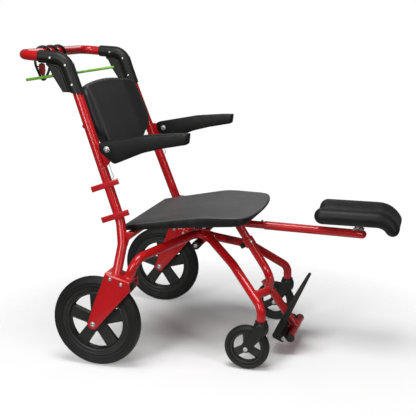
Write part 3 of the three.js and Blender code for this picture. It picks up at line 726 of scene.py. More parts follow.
def back_tubes():
    pair("back_tube", tube_from_fork(BACK_LINE, BACK_TUBE), RED, crease=50)
    plates = Shape().plate(ARM_PLATE, -0.272, -0.268).plate(GUSSET, -0.296, -0.292)
    pair("welded_plates", plates, RED, nodes=[], edge=0.0012)
    bars = Shape()
    for z in (0.6, 0.501):
        hook_bar(bars, z)
    piece("hook_bars", bars, RED, nodes=[], edge=0.001)
    wire = bent_line([
        (0.006, -0.265, 0.684), (0.024, -0.265, 0.676, 0.006), (0.045, -0.266, 0.619, 0.006),
        (0.028, -0.267, 0.618),
    ], 12)
    pair("wire_loop", Shape().rod(wire, 0.0012, 14), STEEL, nodes=[])


def under_tubes():
    pair("under_tube", tube_from_fork(UNDER_LINE, UNDER_TUBE), RED, crease=50)


def cross_tubes():
    piece("seat_hinge_tube", Shape().rod(crosswise(SEAT_HINGE, 0.29), CROSS_TUBE), RED)
    back_tube = in_tube(BACK_LINE, BACK_TUBE)
    weld = Shape().weld(SEAT_HINGE + ACROSS * 0.24, ACROSS, CROSS_TUBE, back_tube)
    pair("hinge_weld", weld, RED, nodes=[])
    rail = Vector((on_back_tube(0.79).x - 0.0192, 0, 0.783))
    piece("backrest_rail", Shape().rod(crosswise(rail, 0.245), 0.0072, 28, 0.002), RED)


def bars():
    piece("handlebar", Shape().rod(HANDLE_LINE, BACK_TUBE, 40), RED)
    piece("brake_bar", Shape().rod(BRAKE_LINE, 0.00475, 24, 0.0015), GREEN, "brake_lever")


back_tubes()
under_tubes()
cross_tubes()
bars()


# ---- rear forks, wheels and brakes ----

WHEEL = at(0, -0.334, 0.1525)
FORK_Y = (-0.374, -0.294)  # the fork's outer and inner side
FORK_SIDE = [
    (0.1325, 0.277), (0.087, 0.225), *arc(0, 0.1525, 0.018, -50, -188, 14), (0.01, 0.235), (0.038, 0.302),
]


def rear_fork():
    """A folded sheet: two sides and a sloping top, with round folds."""
    low, high = FORK_Y
    normal = fork_plane()[1]
    rows = [
        [Vector((end.x, low + d, end.z)) - normal * drop for end in FORK_TOP]
        for d, drop in rounding(0.006, 6)
    ]
    rows += [[Vector((p.x, low + high - p.y, p.z)) for p in row] for row in rows[::-1]]
    shape = Shape()
    shape.points = [p for row in rows for p in row]
    shape.faces = [(2 * k, 2 * k + 1, 2 * k + 3, 2 * k + 2) for k in range(len(rows) - 1)]
    for y, first in ((low, 0), (high, 2 * len(rows) - 2)):
        base = len(shape.points)
        shape.points += [at(x, y, z) for x, z in FORK_SIDE]
        shape.faces.append((first, first + 1, *range(base, len(shape.points))))
    return shape


def thicken(made, thickness):
    """Turns the fork's sheet into a plate that grows inwards from its outer faces."""
    widest = max(made.data.polygons, key=lambda f: f.area)
    outwards = ACROSS if widest.center.y < WHEEL.y else -ACROSS
    if widest.normal.dot(outwards) < 0:
        made.data.flip_normals()
    wall = made.modifiers.new("wall", "SOLIDIFY")
    wall.thickness = thickness
    wall.offset = -1
    wall.use_even_offset = True
    settle(made)


def rear_forks():
    made = object_of("rear_fork_right_visual", rear_fork())
    thicken(made, 0.0032)
    finish_pair(made, RED, "frame", "rear_fork_{}", edge=0.0006)
    liner = [Vector(p) for p in [(0.046, 0.322), (0.122, 0.291), *FORK_SIDE[:-1], (0.036, 0.296)]]
    pair("fork_liner", Shape().plate(inset(liner, 0.003), -0.298, -0.2974), STEEL, nodes=[])
    bolts = Shape()
    for x, z in ((0.065, 0.312), (0.102, 0.297)):
        for y, heading in zip(FORK_Y, (ACROSS, -ACROSS)):
            bolts.bolt_head(at(x, y, z), heading, 0.0062, 0.0035)
    pair("fork_bolts", bolts, STEEL, nodes=[])
    axle = Shape().through_bolt(
        WHEEL, (0.006, 0.041), 0.0403, (0.0074, 0.0042), (0.0092, 0.001, 0.0082), pin_sides=32)
    pair("rear_axle", axle, STEEL)


def spoked_web(shape, centre, openings, hub, rim, apex, base, half, lip):
    """A disc between two radii with rounded triangular openings, each edged by a raised lip.

    apex and base are the (radius, half angle in degrees) of an opening's inner and outer side.
    """
    sector = 360 / openings
    wide, side, narrow = 25, 19, 7

    def on_disc(radius, angle):
        turn = math.radians(angle)
        return centre + Vector((math.cos(turn), 0, math.sin(turn))) * radius

    def field_loop(middle, inner, outer):
        """Points round a four-sided field of the disc, two sides of it round and two straight."""
        far = [on_disc(outer[0], middle + outer[1] * (1 - 2 * k / (wide - 1))) for k in range(wide)]
        near = [on_disc(inner[0], middle - inner[1] * (1 - 2 * k / (narrow - 1))) for k in range(narrow)]
        steps = [k / (side + 1) for k in range(1, side + 1)]
        down = [far[-1].lerp(near[0], step) for step in steps]
        return far + down + near + [near[-1].lerp(far[0], step) for step in steps]

    for k in range(openings):
        middle = 90 + sector * (k + 0.5)
        field = field_loop(middle, (hub, sector / 2), (rim, sector / 2))
        hole = softened(field_loop(middle, apex, base), 1)

        def level(away, y):
            """The hole's edge moved out over the field, and across to a height."""
            return [h + (f - h).normalized() * away + Vector((0, y, 0)) for h, f in zip(hole, field)]

        front = [[f + Vector((0, half, 0)) for f in field], level(0.0034, half), level(0.0022, half + lip),
                 level(0, half + lip * 0.55)]
        back = [[Vector((p.x, 2 * centre.y - p.y, p.z)) for p in loop] for loop in front[::-1]]
        first = shape.sides(front + back)
        last = len(shape.points) - len(field)
        for j in (*range(wide - 1), *range(wide + side, wide + side + narrow - 1)):
            shape.faces.append((first + j, first + j + 1, last + j + 1, last + j))
    return shape


def rear_wheels():
    rim = spoked_web(Shape(), WHEEL, 5, 0.0225, 0.0945, (0.0355, 5), (0.0925, 23), 0.0078, 0.0012)
    rim.doubled([
        (0.1177, 0.016), (0.1165, 0.0172), (0.112, 0.0172), (0.1105, 0.016), (0.103, 0.016),
        (0.1015, 0.0176), (0.0985, 0.018), (0.0962, 0.0168), (0.0952, 0.0125), (0.0934, 0.0085),
        (0.093, 0.003),
    ], WHEEL, 96)
    rim.doubled([
        (0.0262, 0.006), (0.0258, 0.0088), (0.0225, 0.0105), (0.0205, 0.018), (0.0195, 0.0325),
        (0.0182, 0.034), (0.0085, 0.034), (0.0066, 0.0325),
    ], WHEEL, 48)
    pair("rear_rim", rim, WHEEL_PLASTIC, "rear_wheel_{}")
    tyre = Shape().doubled([
        (0.1525, 0.0022), (0.152, 0.0058), (0.1505, 0.0098), (0.1478, 0.0138), (0.1442, 0.0173),
        (0.14, 0.0197), (0.1355, 0.0209), (0.1322, 0.021), (0.1308, 0.0205), (0.1302, 0.0196),
        (0.129, 0.0193), (0.1281, 0.02), (0.1262, 0.0203), (0.124, 0.02), (0.1226, 0.0192),
        (0.1205, 0.0188), (0.1188, 0.0182), (0.118, 0.0165),
    ], WHEEL, 120)
    pair("rear_tyre", tyre, TYRE, "rear_wheel_{}", crease=42)


def brake_shoes():
    """A curved block on the tyre, between the sides of the fork, with its stem."""
    turn = 61.4
    block = arc(0, WHEEL.z, 0.1535, turn - 9, turn + 9, 6) + arc(0, WHEEL.z, 0.1645, turn + 9, turn - 9, 6)
    shoe = Shape().plate(block, WHEEL.y - 0.014, WHEEL.y + 0.014)
    out = Vector((math.cos(math.radians(turn)), 0, math.sin(math.radians(turn))))
    shoe.rod([WHEEL + out * 0.1605, WHEEL + out * 0.177], 0.005, 24)
    pair("brake_shoe", shoe, RUBBER, "brake_{}", edge=0.001)


rear_forks()
rear_wheels()
brake_shoes()


# ---- casters ----

CASTER = at(0.486, -0.238, 0.075)
STEM = at(0.532, -0.238, 0)


def strap(first, first_radius, second, second_radius):
    """The outline of two discs with a tangent web between them."""
    heading = math.degrees(math.atan2(second[1] - first[1], second[0] - first[0]))
    spread = math.degrees(math.acos((first_radius - second_radius) / math.dist(first, second)))
    return (arc(*first, first_radius, heading + spread, heading - spread + 360, 16)
            + arc(*second, second_radius, heading - spread, heading + spread, 16))


def caster_forks():
    """A moulded head on the stem, with a leg on each side of the wheel."""
    shape = Shape().turned([
        (0.004, 0.117), (0.012, 0.118), (0.019, 0.123), (0.0235, 0.131), (0.0252, 0.141), (0.025, 0.15),
        (0.0228, 0.158), (0.02, 0.164), (0.019, 0.1685), (0.006, 0.1685),
    ], STEM, UP, 48)
    for low, high in ((-0.263, -0.2566), (-0.2194, -0.213)):
        shape.plate(strap((0.486, 0.075), 0.013, (0.53, 0.139), 0.021), low, high)
    made = moulded("caster_fork_right_visual", shape, 0.0014, 6)
    carve(made, Shape().turned([(0.0785, -0.0185), (0.0785, 0.0185)], CASTER, ACROSS))
    finish_pair(made, PLASTIC, "caster_{}", "caster_fork_{}", crease=50)
    ring = [(0.0178, 0.1655), (0.0202, 0.1662), (0.0205, 0.1684), (0.0178, 0.1689)]
    trim = Shape().turned(ring, STEM, UP, 48, True)
    pair("caster_dust_ring", trim, RUBBER, "caster_{}", nodes=[])


def caster_wheels():
    rim = spoked_web(Shape(), CASTER, 3, 0.0145, 0.0475, (0.019, 20), (0.0455, 43), 0.0042, 0.001)
    rim.doubled([
        (0.0557, 0.01), (0.055, 0.0112), (0.052, 0.0112), (0.05, 0.0108), (0.048, 0.0085),
        (0.0466, 0.005), (0.0462, 0.002),
    ], CASTER, 72)
    rim.doubled([
        (0.0158, 0.003), (0.0155, 0.0052), (0.0135, 0.0062), (0.0122, 0.01), (0.0118, 0.0155),
        (0.0108, 0.0165), (0.006, 0.0165), (0.0044, 0.0155),
    ], CASTER, 40)
    pair("caster_rim", rim, WHEEL_PLASTIC, "caster_wheel_{}")
    tyre = Shape().doubled([
        (0.075, 0.003), (0.0746, 0.0062), (0.073, 0.01), (0.0703, 0.0133), (0.0672, 0.0153),
        (0.0645, 0.016), (0.062, 0.0158), (0.0612, 0.015), (0.0602, 0.0149), (0.0594, 0.0155),
        (0.0575, 0.015), (0.056, 0.0125),
    ], CASTER, 96)
    pair("caster_tyre", tyre, TYRE, "caster_wheel_{}", crease=42)
    axle = Shape().through_bolt(
        CASTER, (0.004, 0.026), 0.0253, (0.0064, 0.0026), (0.0078, 0.0008, 0.0066), washer_sides=36)
    pair("caster_axle", axle, STEEL, "caster_{}")


caster_forks()
caster_wheels()


# ---- elbow covers ----

ELBOW_Y = -0.25
ELBOW_FOOT = 0.8905
ELBOW_SCREWS = [(-0.165, 1.002), (-0.113, 0.979), (-0.0915, 0.917)]


def slice_off(made, place, normal):
    """Cuts away what lies beyond a plane, and fills the cut."""
    tidy = bmesh.new()
    tidy.from_mesh(made.data)
    cut = bmesh.ops.bisect_plane(
        tidy, geom=tidy.verts[:] + tidy.edges[:] + tidy.faces[:], plane_co=place, plane_no=normal,
        clear_outer=True)
    rim = [e for e in cut["geom_cut"] if isinstance(e, bmesh.types.BMEdge)]
    bmesh.ops.holes_fill(tidy, edges=rim)
    bmesh.ops.recalc_face_normals(tidy, faces=tidy.faces)
    tidy.to_mesh(made.data)
    tidy.free()


def elbow_covers():
    """Two moulded halves round the joint of back tube and handlebar, with a web that holds the brake bar."""
    line = bent_line([(-0.0733, -0.25, 0.8697), (-0.121, -0.25, 1.001, 0.048), (-0.209, -0.25, 1.006)])
    shape = Shape().rod(line, 0.0207, 40, 0.003)
    thin = [
        (-0.0625, 0.8895), (-0.124, 0.893), (-0.156, 0.942), (-0.171, 0.971), (-0.192, 0.988),
        (-0.121, 1.001), (-0.092, 0.985),
    ]
    thick = [
        (-0.11, 0.893), (-0.128, 0.893), (-0.16, 0.942), (-0.174, 0.971), (-0.186, 0.982),
        (-0.17, 0.978), (-0.15, 0.974), (-0.137, 0.965), (-0.128, 0.945), (-0.122, 0.93),
    ]
    for sides, half in ((thin, 0.0065), (thick, 0.0125)):
        shape.plate(sides, ELBOW_Y - half, ELBOW_Y + half)
    whole = moulded("elbow", shape, 0.0013, 4)
    for half, keep in (("outer", -1), ("inner", 1)):
        part = placed(f"elbow_{half}_right_visual", whole.data.copy())
        slice_off(part, (0, ELBOW_Y + 0.0002 * keep, 0), (0, -keep, 0))
        slice_off(part, (0, 0, ELBOW_FOOT), (0, 0, -1))
        finish_pair(part, PLASTIC, "frame", f"elbow_{half}_{{}}", crease=55)
    bpy.data.objects.remove(whole)
    screws = Shape()
    for x, z in ELBOW_SCREWS:
        for heading in (ACROSS, -ACROSS):
            screws.bolt_head(at(x, ELBOW_Y, z) + heading * 0.0203, heading, 0.0042, 0.0022)
    pair("elbow_screws", screws, STEEL, nodes=[])


elbow_covers()


# ---- backrest ----

BACKREST_LOW = 0.67
BACKREST_FOOT = on_back_tube(BACKREST_LOW)
BACKREST = respaced(two_halves(outline(
    (-0.1, 0.012), (-0.146, 0.012, -0.172, 0.04), (-0.235, 0.078, -0.237, 0.112),
    (-0.237, 0.16, -0.228, 0.212), (-0.223, 0.247, -0.18, 0.2545), (-0.095, 0.268, 0, 0.268),
), -1, 1), 200)


def on_backrest(across, up, ahead):
    """A place in the backrest's own plane, as high as `up` along it and `ahead` of the tube centres."""
    return Vector((
        BACKREST_FOOT.x + ahead * math.cos(LEAN) - up * math.sin(LEAN),
        across,
        BACKREST_LOW + ahead * math.sin(LEAN) + up * math.cos(LEAN),
    ))


def smooth_step(value, low, high):
    share = max(0.0, min(1.0, (value - low) / (high - low)))
    return share * share * (3 - 2 * share)


def backrest():
    """A moulded foam pad: soft rim, raised side wings and a dished middle, on a shell."""
    def crown(across, up):
        wing = smooth_step(abs(across), 0.146, 0.214)
        lumbar = 0.003 * math.exp(-((up - 0.085) / 0.06) ** 2)
        return 0.0065 + 0.0165 * wing + lumbar - 0.004 * smooth_step(up, 0.19, 0.26)

    rim = 0.011
    outer = softened(BACKREST, 3)
    loops = [
        [on_backrest(p.x, p.y, -0.008 + drop) for p in inset(outer, d)]
        for d, drop in rounding(0.004, 4)[::-1]
    ]
    for d, drop in rounding(rim, 9):
        edge = inset(outer, d)
        heights = softened([Vector((crown(p.x, p.y), 0)) for p in edge], 4)
        loops.append([on_backrest(p.x, p.y, h.x - drop) for p, h in zip(edge, heights)])
    inner = inset(outer, rim)
    for share in (0.97, 0.93, 0.88, 0.82, 0.75, 0.67, 0.58, 0.48, 0.37, 0.25, 0.13, 0.04):
        loops.append([on_backrest(p.x, p.y, crown(p.x, p.y)) for p in shrunk(inner, share)])
    pad = piece("backrest_pad", Shape().loft(loops), BACK_SKIN, crease=70)
    shell = Shape()
    shell_rim = inset(BACKREST, 0.01)
    levels = [(0.003, -0.0083), (0, -0.009), (0, -0.0105), (0.0008, -0.0115), (0.0025, -0.012)]
    shell.loft([[on_backrest(p.x, p.y, ahead) for p in inset(shell_rim, d)] for d, ahead in levels])
    piece("backrest_shell", shell, PLASTIC)
    behind = Vector((-math.cos(LEAN), 0, -math.sin(LEAN)))
    screws = Shape()
    for across in (-0.15, 0, 0.15):
        for up in (0.045, 0.205):
            screws.bolt_head(on_backrest(across, up, -0.012), behind, 0.006, 0.003)
    piece("backrest_screws", screws, STEEL, nodes=[])


backrest()


# ---- armrests ----

ARM_PIVOT = at(0.036, -0.28, 0.719)
ARM_TOP = profile((0.009, 0.7385), (0.161, 0.767), (0.262, 0.7755), (0.304, 0.777), blur=0.004)
ARM_UNDER = profile((0.009, 0.714), (0.015, 0.706), (0.056, 0.6735), (0.064, 0.6735), (0.156, 0.712),
                    (0.218, 0.728), (0.284, 0.74), (0.304, 0.7435), blur=0.004)


def rounded_box(width, height, radius):
    """Points round a flat box with round corners, about its middle."""
    points = []
    for quarter, (sx, sz) in enumerate(((1, 1), (-1, 1), (-1, -1), (1, -1))):
        x, z = sx * (width / 2 - radius), sz * (height / 2 - radius)
        points += arc(x, z, radius, 90 * quarter, 90 * quarter + 90, 5)
    return points


def armrests():
    """A moulded arm: rounded in section, deep at the pivot and slim at the front, slotted for its plate."""
    rear, front, half, edge, count = 0.009, 0.302, 0.022, 0.0035, 52
    run = front - rear - 2 * edge
    stations = [(rear + d, drop) for d, drop in rounding(edge)]
    stations += [(rear + edge + run * k / count, 0.0) for k in range(1, count)]
    stations += [(front - drop, d) for d, drop in rounding(edge)]
    loops = []
    for x, shrink in stations:
        top, under = ARM_TOP(x), ARM_UNDER(x)
        width = 2 * (half - shrink) - 0.004 * smooth_step(x, 0.22, 0.3)
        rake = 0.12 * smooth_step(x, 0.24, 0.3)
        section = rounded_box(width, top - under - 2 * shrink, 0.0045)
        middle = (top + under) / 2
        loops.append([at(x + up * rake, ARM_PIVOT.y + side, middle + up) for side, up in section])
    made = object_of("armrest_right_visual", Shape().loft(loops))
    carve(made, Shape().turned([(0.062, -0.0146), (0.062, -0.0054)], ARM_PIVOT, ACROSS))
    finish_pair(made, ARM_PLASTIC, "arm_{}", "armrest_{}", crease=40)
    bolt = Shape().through_bolt(
        ARM_PIVOT, (0.0045, 0.0225), 0.0223, (0.0078, 0.0034), (0.0098, 0.001, 0.0085))
    pair("arm_bolt", bolt, STEEL)


armrests()


# ---- seat ----

SEAT_PLAN = respaced(two_halves(outline(
    (0.052, -0.218), (0.3, -0.232), (0.43, -0.213), (0.465, -0.207, 0.474, -0.165),
    (0.489, -0.08, 0.489, 0),
), 1, -1), 240)
SEAT_TOP = profile((0.04, 0.4498), (0.29, 0.496), (0.33, 0.499), (0.468, 0.499), (0.484, 0.497),
                   (0.49, 0.492), blur=0.016)
SEAT_UNDER = profile((0.04, 0.4318), (0.3, 0.463), (0.43, 0.469), (0.462, 0.474), (0.482, 0.483),
                     (0.49, 0.49), blur=0.008)


def seat():
    """A moulded seat: a dished top with a fine step inside its edge, painted grey as painted light from
    above, and black sides.
    """
    plan = softened(SEAT_PLAN, 2)

    def edge_loop(d, drop, lift=None):
        """A loop `d` in from the edge, at a drop from the top or a lift from the underside."""
        points = []
        for p in inset(plan, d):
            low, high = SEAT_UNDER(p.x), SEAT_TOP(p.x)
            room = min(1.0, (high - low) / 0.012)
            points.append(at(p.x, p.y, high - drop * room if lift is None else low + lift * room))
        return points

    def inner_loops(d, shares, height, dish=0.0):
        """Loops that close a face, from `d` in from the edge, sunk by `dish` in the middle."""
        loops = []
        for share in shares:
            sunk = dish * smooth_step(1 - share, 0.0, 0.5)
            loops.append([at(p.x, p.y, height(p.x) - sunk) for p in shrunk(inset(plan, d), share)])
        return loops

    under = inner_loops(0.003, (0.05, 0.2, 0.4, 0.6, 0.8, 0.95), SEAT_UNDER)
    wall = [edge_loop(d, 0, lift) for d, lift in ((0.003, 0), (0.001, 0.0007), (0, 0.003))]
    wall += [edge_loop(d, drop) for d, drop in ((0, 0.0055), (0.0005, 0.0035), (0.006, 0.0036))]
    core = inner_loops(
        0.008, (0.96, 0.8, 0.55, 0.3, 0.05), lambda x: (2 * SEAT_UNDER(x) + SEAT_TOP(x)) / 3)
    piece("seat_panel", Shape().loft(under + wall + core), SEAT_SIDE, "seat")
    rim = [edge_loop(d, drop) for d, drop in (
        (0.008, 0.0036), (0.0012, 0.0032), (0.0012, 0.0022), (0.002, 0.0009), (0.0034, 0.0002),
        (0.0055, 0), (0.0085, 0.0001), (0.0105, 0.001), (0.013, 0.0013),
    )]
    dish = inner_loops(
        0.013, (0.97, 0.93, 0.88, 0.81, 0.73, 0.64, 0.54, 0.43, 0.31, 0.19, 0.07),
        lambda x: SEAT_TOP(x) - 0.0013, 0.0035)
    # The top skin carries the seat's painted light: lighter grey than the black sides.
    piece("seat_skin", Shape().loft(rim + dish), SEAT_PAINTED_LIT_TOP, "seat", nodes=[], crease=60)
    bolts = Shape()
    for y in (-1, 1):
        bolts.bolt_head(at(0.333, 0.215 * y, SEAT_UNDER(0.333) - 0.0002), -UP, 0.007, 0.005)
        for x in (0.16, 0.4):
            bolts.bolt_head(at(x, 0.12 * y, SEAT_UNDER(x) + 0.0002), -UP, 0.006, 0.0035)
    piece("seat_bolts", bolts, STEEL, "seat", nodes=[])


def seat_hinge():
    """A block under the seat and a barrel round the hinge tube, both bored for the tube."""
    bore, half = 0.013, 0.06
    block = [(0.056, 0.417), (0.09, 0.42)] + [(x, SEAT_UNDER(x) - 0.0004) for x in (0.09, 0.056)]
    made = object_of("seat_hinge_visual", Shape().plate(block, -half, half))
    carve(made, Shape().turned([(bore, -0.065), (bore, 0.065)], SEAT_HINGE, ACROSS, 48))
    finish_piece(made, PLASTIC, "seat", ["seat_hinge"], 0.001)
    barrel = Shape().doubled([(0.0165, half), (bore, half)], SEAT_HINGE, 48)
    piece("seat_hinge_barrel", barrel, PLASTIC, "seat", nodes=[], edge=0.0006)


def seat_prop():
    """Where the under tubes meet: a cap plate, a prop for the seat and a web that holds the roller."""
    cap = [(0.252, 0.4035), (0.302, 0.4035), (0.302, 0.409), (0.252, 0.409)]
    plates = Shape().plate(cap, -0.034, 0.034)
    plates.plate([
        (0.262, 0.406), (0.296, 0.406), (0.292, 0.366), (0.268, 0.344), (0.262, 0.3405), (0.255, 0.3395),
        (0.248, 0.342), (0.2435, 0.348), (0.244, 0.355), (0.25, 0.366),
    ], -0.002, 0.002)
    piece("seat_prop", plates, RED, edge=0.0008)
    prop = [at(0.286, 0, 0.405), at(0.3155, 0, 0.4585)]
    heading = (prop[1] - prop[0]).normalized()
    foot, head = rings(prop, 0.009, 28)
    underside = (at(0.3, 0, 0.4622), Vector((-0.1, 0, 1)).normalized())
    strut = Shape().loft([foot, onto_plane(head, heading, *underside)])
    strut.bead(onto_plane(rings(prop, 0.009, 36)[0], heading, at(0.27, 0, 0.409), UP))
    piece("seat_prop_rod", strut, RED, nodes=[], crease=50)
    roller = Shape().turned([
        (0.0044, -0.021), (0.0125, -0.0215), (0.0142, -0.0205), (0.015, -0.018), (0.015, -0.006),
        (0.0144, -0.005), (0.0144, -0.003), (0.015, -0.002), (0.015, 0.018), (0.0142, 0.0205),
        (0.0125, 0.0215), (0.0044, 0.021),
    ], ROLLER + ACROSS * 0.0265, ACROSS, 48, True)
    piece("nesting_roller", roller, RUBBER, "roller")
    pin = Shape().turned([(0.004, -0.0025), (0.004, 0.0485)], ROLLER, ACROSS, 28)
    pin.bolt_head(ROLLER + ACROSS * 0.0483, ACROSS, 0.007, 0.003)
    pin.bolt_head(ROLLER - ACROSS * 0.0023, -ACROSS, 0.007, 0.003)
    piece("roller_pin", pin, STEEL)


seat()
seat_hinge()
seat_prop()


# ---- centre strut and leg support ----

LEG_STUB = 0.0125
LEG_START = at(0.404, 0, 0.431)
LEG_END = at(0.823, 0, 0.42)
LEG_HEADING = (LEG_END - LEG_START).normalized()
STRUT_HEADING = (at(0.518, 0, 0.241) - at(0.398, 0, 0.423)).normalized()
PULL_HEADING = Vector((STRUT_HEADING.z, 0, -STRUT_HEADING.x))
COLLAR = at(0.398, 0, 0.423) + STRUT_HEADING * 0.0695


def centre_strut():
    strut = Shape().rod(STRUT_LINE, STRUT, 40)
    start, end = STRUT_LINE[-2:]
    strut.weld(start, (end - start).normalized(), STRUT, in_tube(UNDER_LINE, UNDER_TUBE), 0.0024)
    inner_tube = in_tube([LEG_START, LEG_START + LEG_HEADING * 0.232], LEG_STUB)
    strut.weld(COLLAR, -STRUT_HEADING, STRUT, inner_tube)
    piece("centre_strut", strut, RED, crease=50)
    stub = Shape().rod([LEG_START, LEG_START + LEG_HEADING * 0.23], LEG_STUB, 36, 0.002)
    piece("leg_stub", stub, RED)
    dome = Shape().turned([
        (0.004, 0.01), (0.004, 0.0142), (0.0037, 0.0158), (0.0029, 0.0172), (0.0018, 0.0179),
        (0.0006, 0.0181),
    ], LEG_START + LEG_HEADING * 0.077, UP, 28)
    piece("snap_button", dome, PLASTIC, "button")


def leg_sleeve():
    """The outer tube of the leg support with its closed round nose, and the pad's bracket."""
    skin, bore = 0.0147, 0.0129
    base = LEG_START + LEG_HEADING * 0.086
    length = (LEG_END - base).length
    sleeve = Shape().turned([
        (bore, 0.0), (0.0143, 0.0), (skin, 0.0005), (skin, length), *arc(0, length, skin, 9, 81, 8),
        (0.0006, length + skin), (0.0006, length - 0.002), (bore, length - 0.002),
    ], base, LEG_HEADING, 40, True)
    piece("leg_sleeve", sleeve, RED, "leg_support")
    low = 0.4361
    foot = [(0.793, low), (0.829, low), (0.829, low + 0.0025), (0.793, low + 0.0025)]
    cheek = [(0.797, low), (0.825, low), (0.825, low + 0.004), (0.82, 0.456), (0.816, 0.4585),
             (0.806, 0.4585), (0.802, 0.456), (0.797, low + 0.004)]
    bracket = Shape().plate(foot, -0.017, 0.017).plate(cheek, -0.017, -0.014).plate(cheek, 0.014, 0.017)
    piece("pad_bracket", bracket, STEEL, "leg_support", edge=0.0006)


def pad_section():
    """The pad's section about its spine: (side, share of the way to that side's roll, out, up)."""
    unit = []
    for way in (1, -1):
        under = [(way, k / 6, 0, -0.94 - 0.01 * k) for k in range(6)]
        roll = [(way, 1, out, up) for out, up in arc(0, 0, 1, -90, 90, 18)]
        cradle = [(way, 1 - k / 12, 0, 1 - 0.29 * (1 - math.cos(math.pi * k / 12))) for k in range(1, 12)]
        side = under + roll + cradle
        unit += side if way > 0 else side[:0:-1]
    return unit


def pad_body():
    """Two rolls along the leg and a trough between, the far end curled down."""
    spine = bent_line([(0.6705, 0, 0.4915), (0.907, 0, 0.4905, 0.062), (0.9365, 0, 0.44)], 5)
    near_end = [spine[0].lerp(spine[1], 0.14 * (k / 12) ** 2) for k in range(12)]
    straight = [spine[0].lerp(spine[1], 0.14 + 0.86 * k / 12) for k in range(13)]
    far_end = [spine[-2].lerp(spine[-1], 1 - (1 - k / 10) ** 2) for k in range(1, 11)]
    spine = near_end + straight + spine[2:-1] + far_end
    runs = [0.0]
    for a, b in zip(spine, spine[1:]):
        runs.append(runs[-1] + (b - a).length)
    total = runs[-1]
    section = pad_section()
    loops = []
    for point, heading, run in zip(spine, headings(spine), runs):
        radius = 0.028 - 0.005 * smooth_step(run, 0.19, total)
        fill = smooth_step(total - run, 0.015, 0.1)
        from_end = min(run, total - run)
        if from_end < radius:
            radius = math.sqrt(max(1e-8, radius ** 2 - (radius - from_end) ** 2))
        lift = Vector((-heading.z, 0, heading.x))
        loop = []
        for way, share, out, up in section:
            across = way * (0.072 * share + out * radius)
            if not out and up > -0.9:
                up = 1 - (1 - up) * (0.08 + 0.92 * fill)
            notch = 0.014 * max(0.0, 1 - (across / 0.05) ** 2) * (1 - smooth_step(run, 0, 0.05))
            loop.append(point + Vector((0, across, 0)) + lift * (up * radius) + heading * notch)
        loops.append(softened(loop, 3))
    return Shape().loft(loops)


def calf_pad():
    """The moulded pad, the plate under it and the knob that clamps it to the bracket."""
    plate = Shape().plate([(0.695, 0.4618), (0.86, 0.461), (0.86, 0.4638), (0.695, 0.4646)], -0.03, 0.03)
    plate.plate([(0.8035, 0.463), (0.8035, 0.452), (0.8055, 0.4467), (0.811, 0.4445), (0.8165, 0.4467),
                 (0.8185, 0.452), (0.8185, 0.463)], -0.013, 0.013)
    piece("pad_plate", plate, STEEL, "pad", edge=0.0006)
    pad = piece("calf_pad", pad_body(), PAD_SKIN, "pad", crease=75)
    smooth = pad.modifiers.new("smooth", "SUBSURF")
    smooth.levels = smooth.render_levels = 1
    knob_at = at(0.811, 0, 0.452)
    knob = Shape().turned([
        (0.004, 0.0173), (0.0062, 0.0176), (0.0062, 0.0218), (0.0086, 0.0232), (0.0094, 0.0246),
        (0.0094, 0.0325), (0.0086, 0.035), (0.0072, 0.0358), (0.003, 0.036),
    ], knob_at, ACROSS, 24)
    knob.turned([(0.004, -0.0178), (0.004, 0.0178)], knob_at, ACROSS, 24)
    piece("pad_knob", knob, PLASTIC, "pad", edge=0.0004)
    nut = Shape().turned([(0.007, 0.0174), (0.007, 0.0205), (0.0062, 0.0212)], knob_at, -ACROSS, 6)
    piece("pad_nut", nut, STEEL, "pad", nodes=[], edge=0.0005)
    cap = Shape().bolt_head(knob_at + ACROSS * 0.036, ACROSS, 0.006, 0.0024)
    piece("pad_knob_cap", cap, STEEL, "pad", nodes=[])


def collar_and_pull():
    collar = Shape().doubled([(0.0195, 0.0141), (0.0186, 0.015), (0.015, 0.015)], COLLAR, 48, STRUT_HEADING)
    piece("strut_collar", collar, RED)
    knob = Shape().turned([
        (0.003, 0.0155), (0.0034, 0.0158), (0.0034, 0.0208), (0.008, 0.0212), (0.0095, 0.0228),
        (0.0095, 0.033), (0.0084, 0.0352), (0.005, 0.036),
    ], COLLAR, PULL_HEADING, 40)
    piece("pull_knob", knob, PLASTIC, "lock_knob")
    face = (ACROSS * 0.8 - PULL_HEADING * 0.6).normalized()
    front = Shape().bolt_head(COLLAR + face * 0.0192, face, 0.0055, 0.003)
    piece("collar_bolt", front, STEEL, nodes=[])


centre_strut()
leg_sleeve()
calf_pad()
collar_and_pull()


# ---- foot assembly ----

FOOT_BAR = at(0.605, 0, 0.065)
FOOT_HINGE = at(0.583, 0, 0.065)
FOOT_LEAN = math.radians(66)


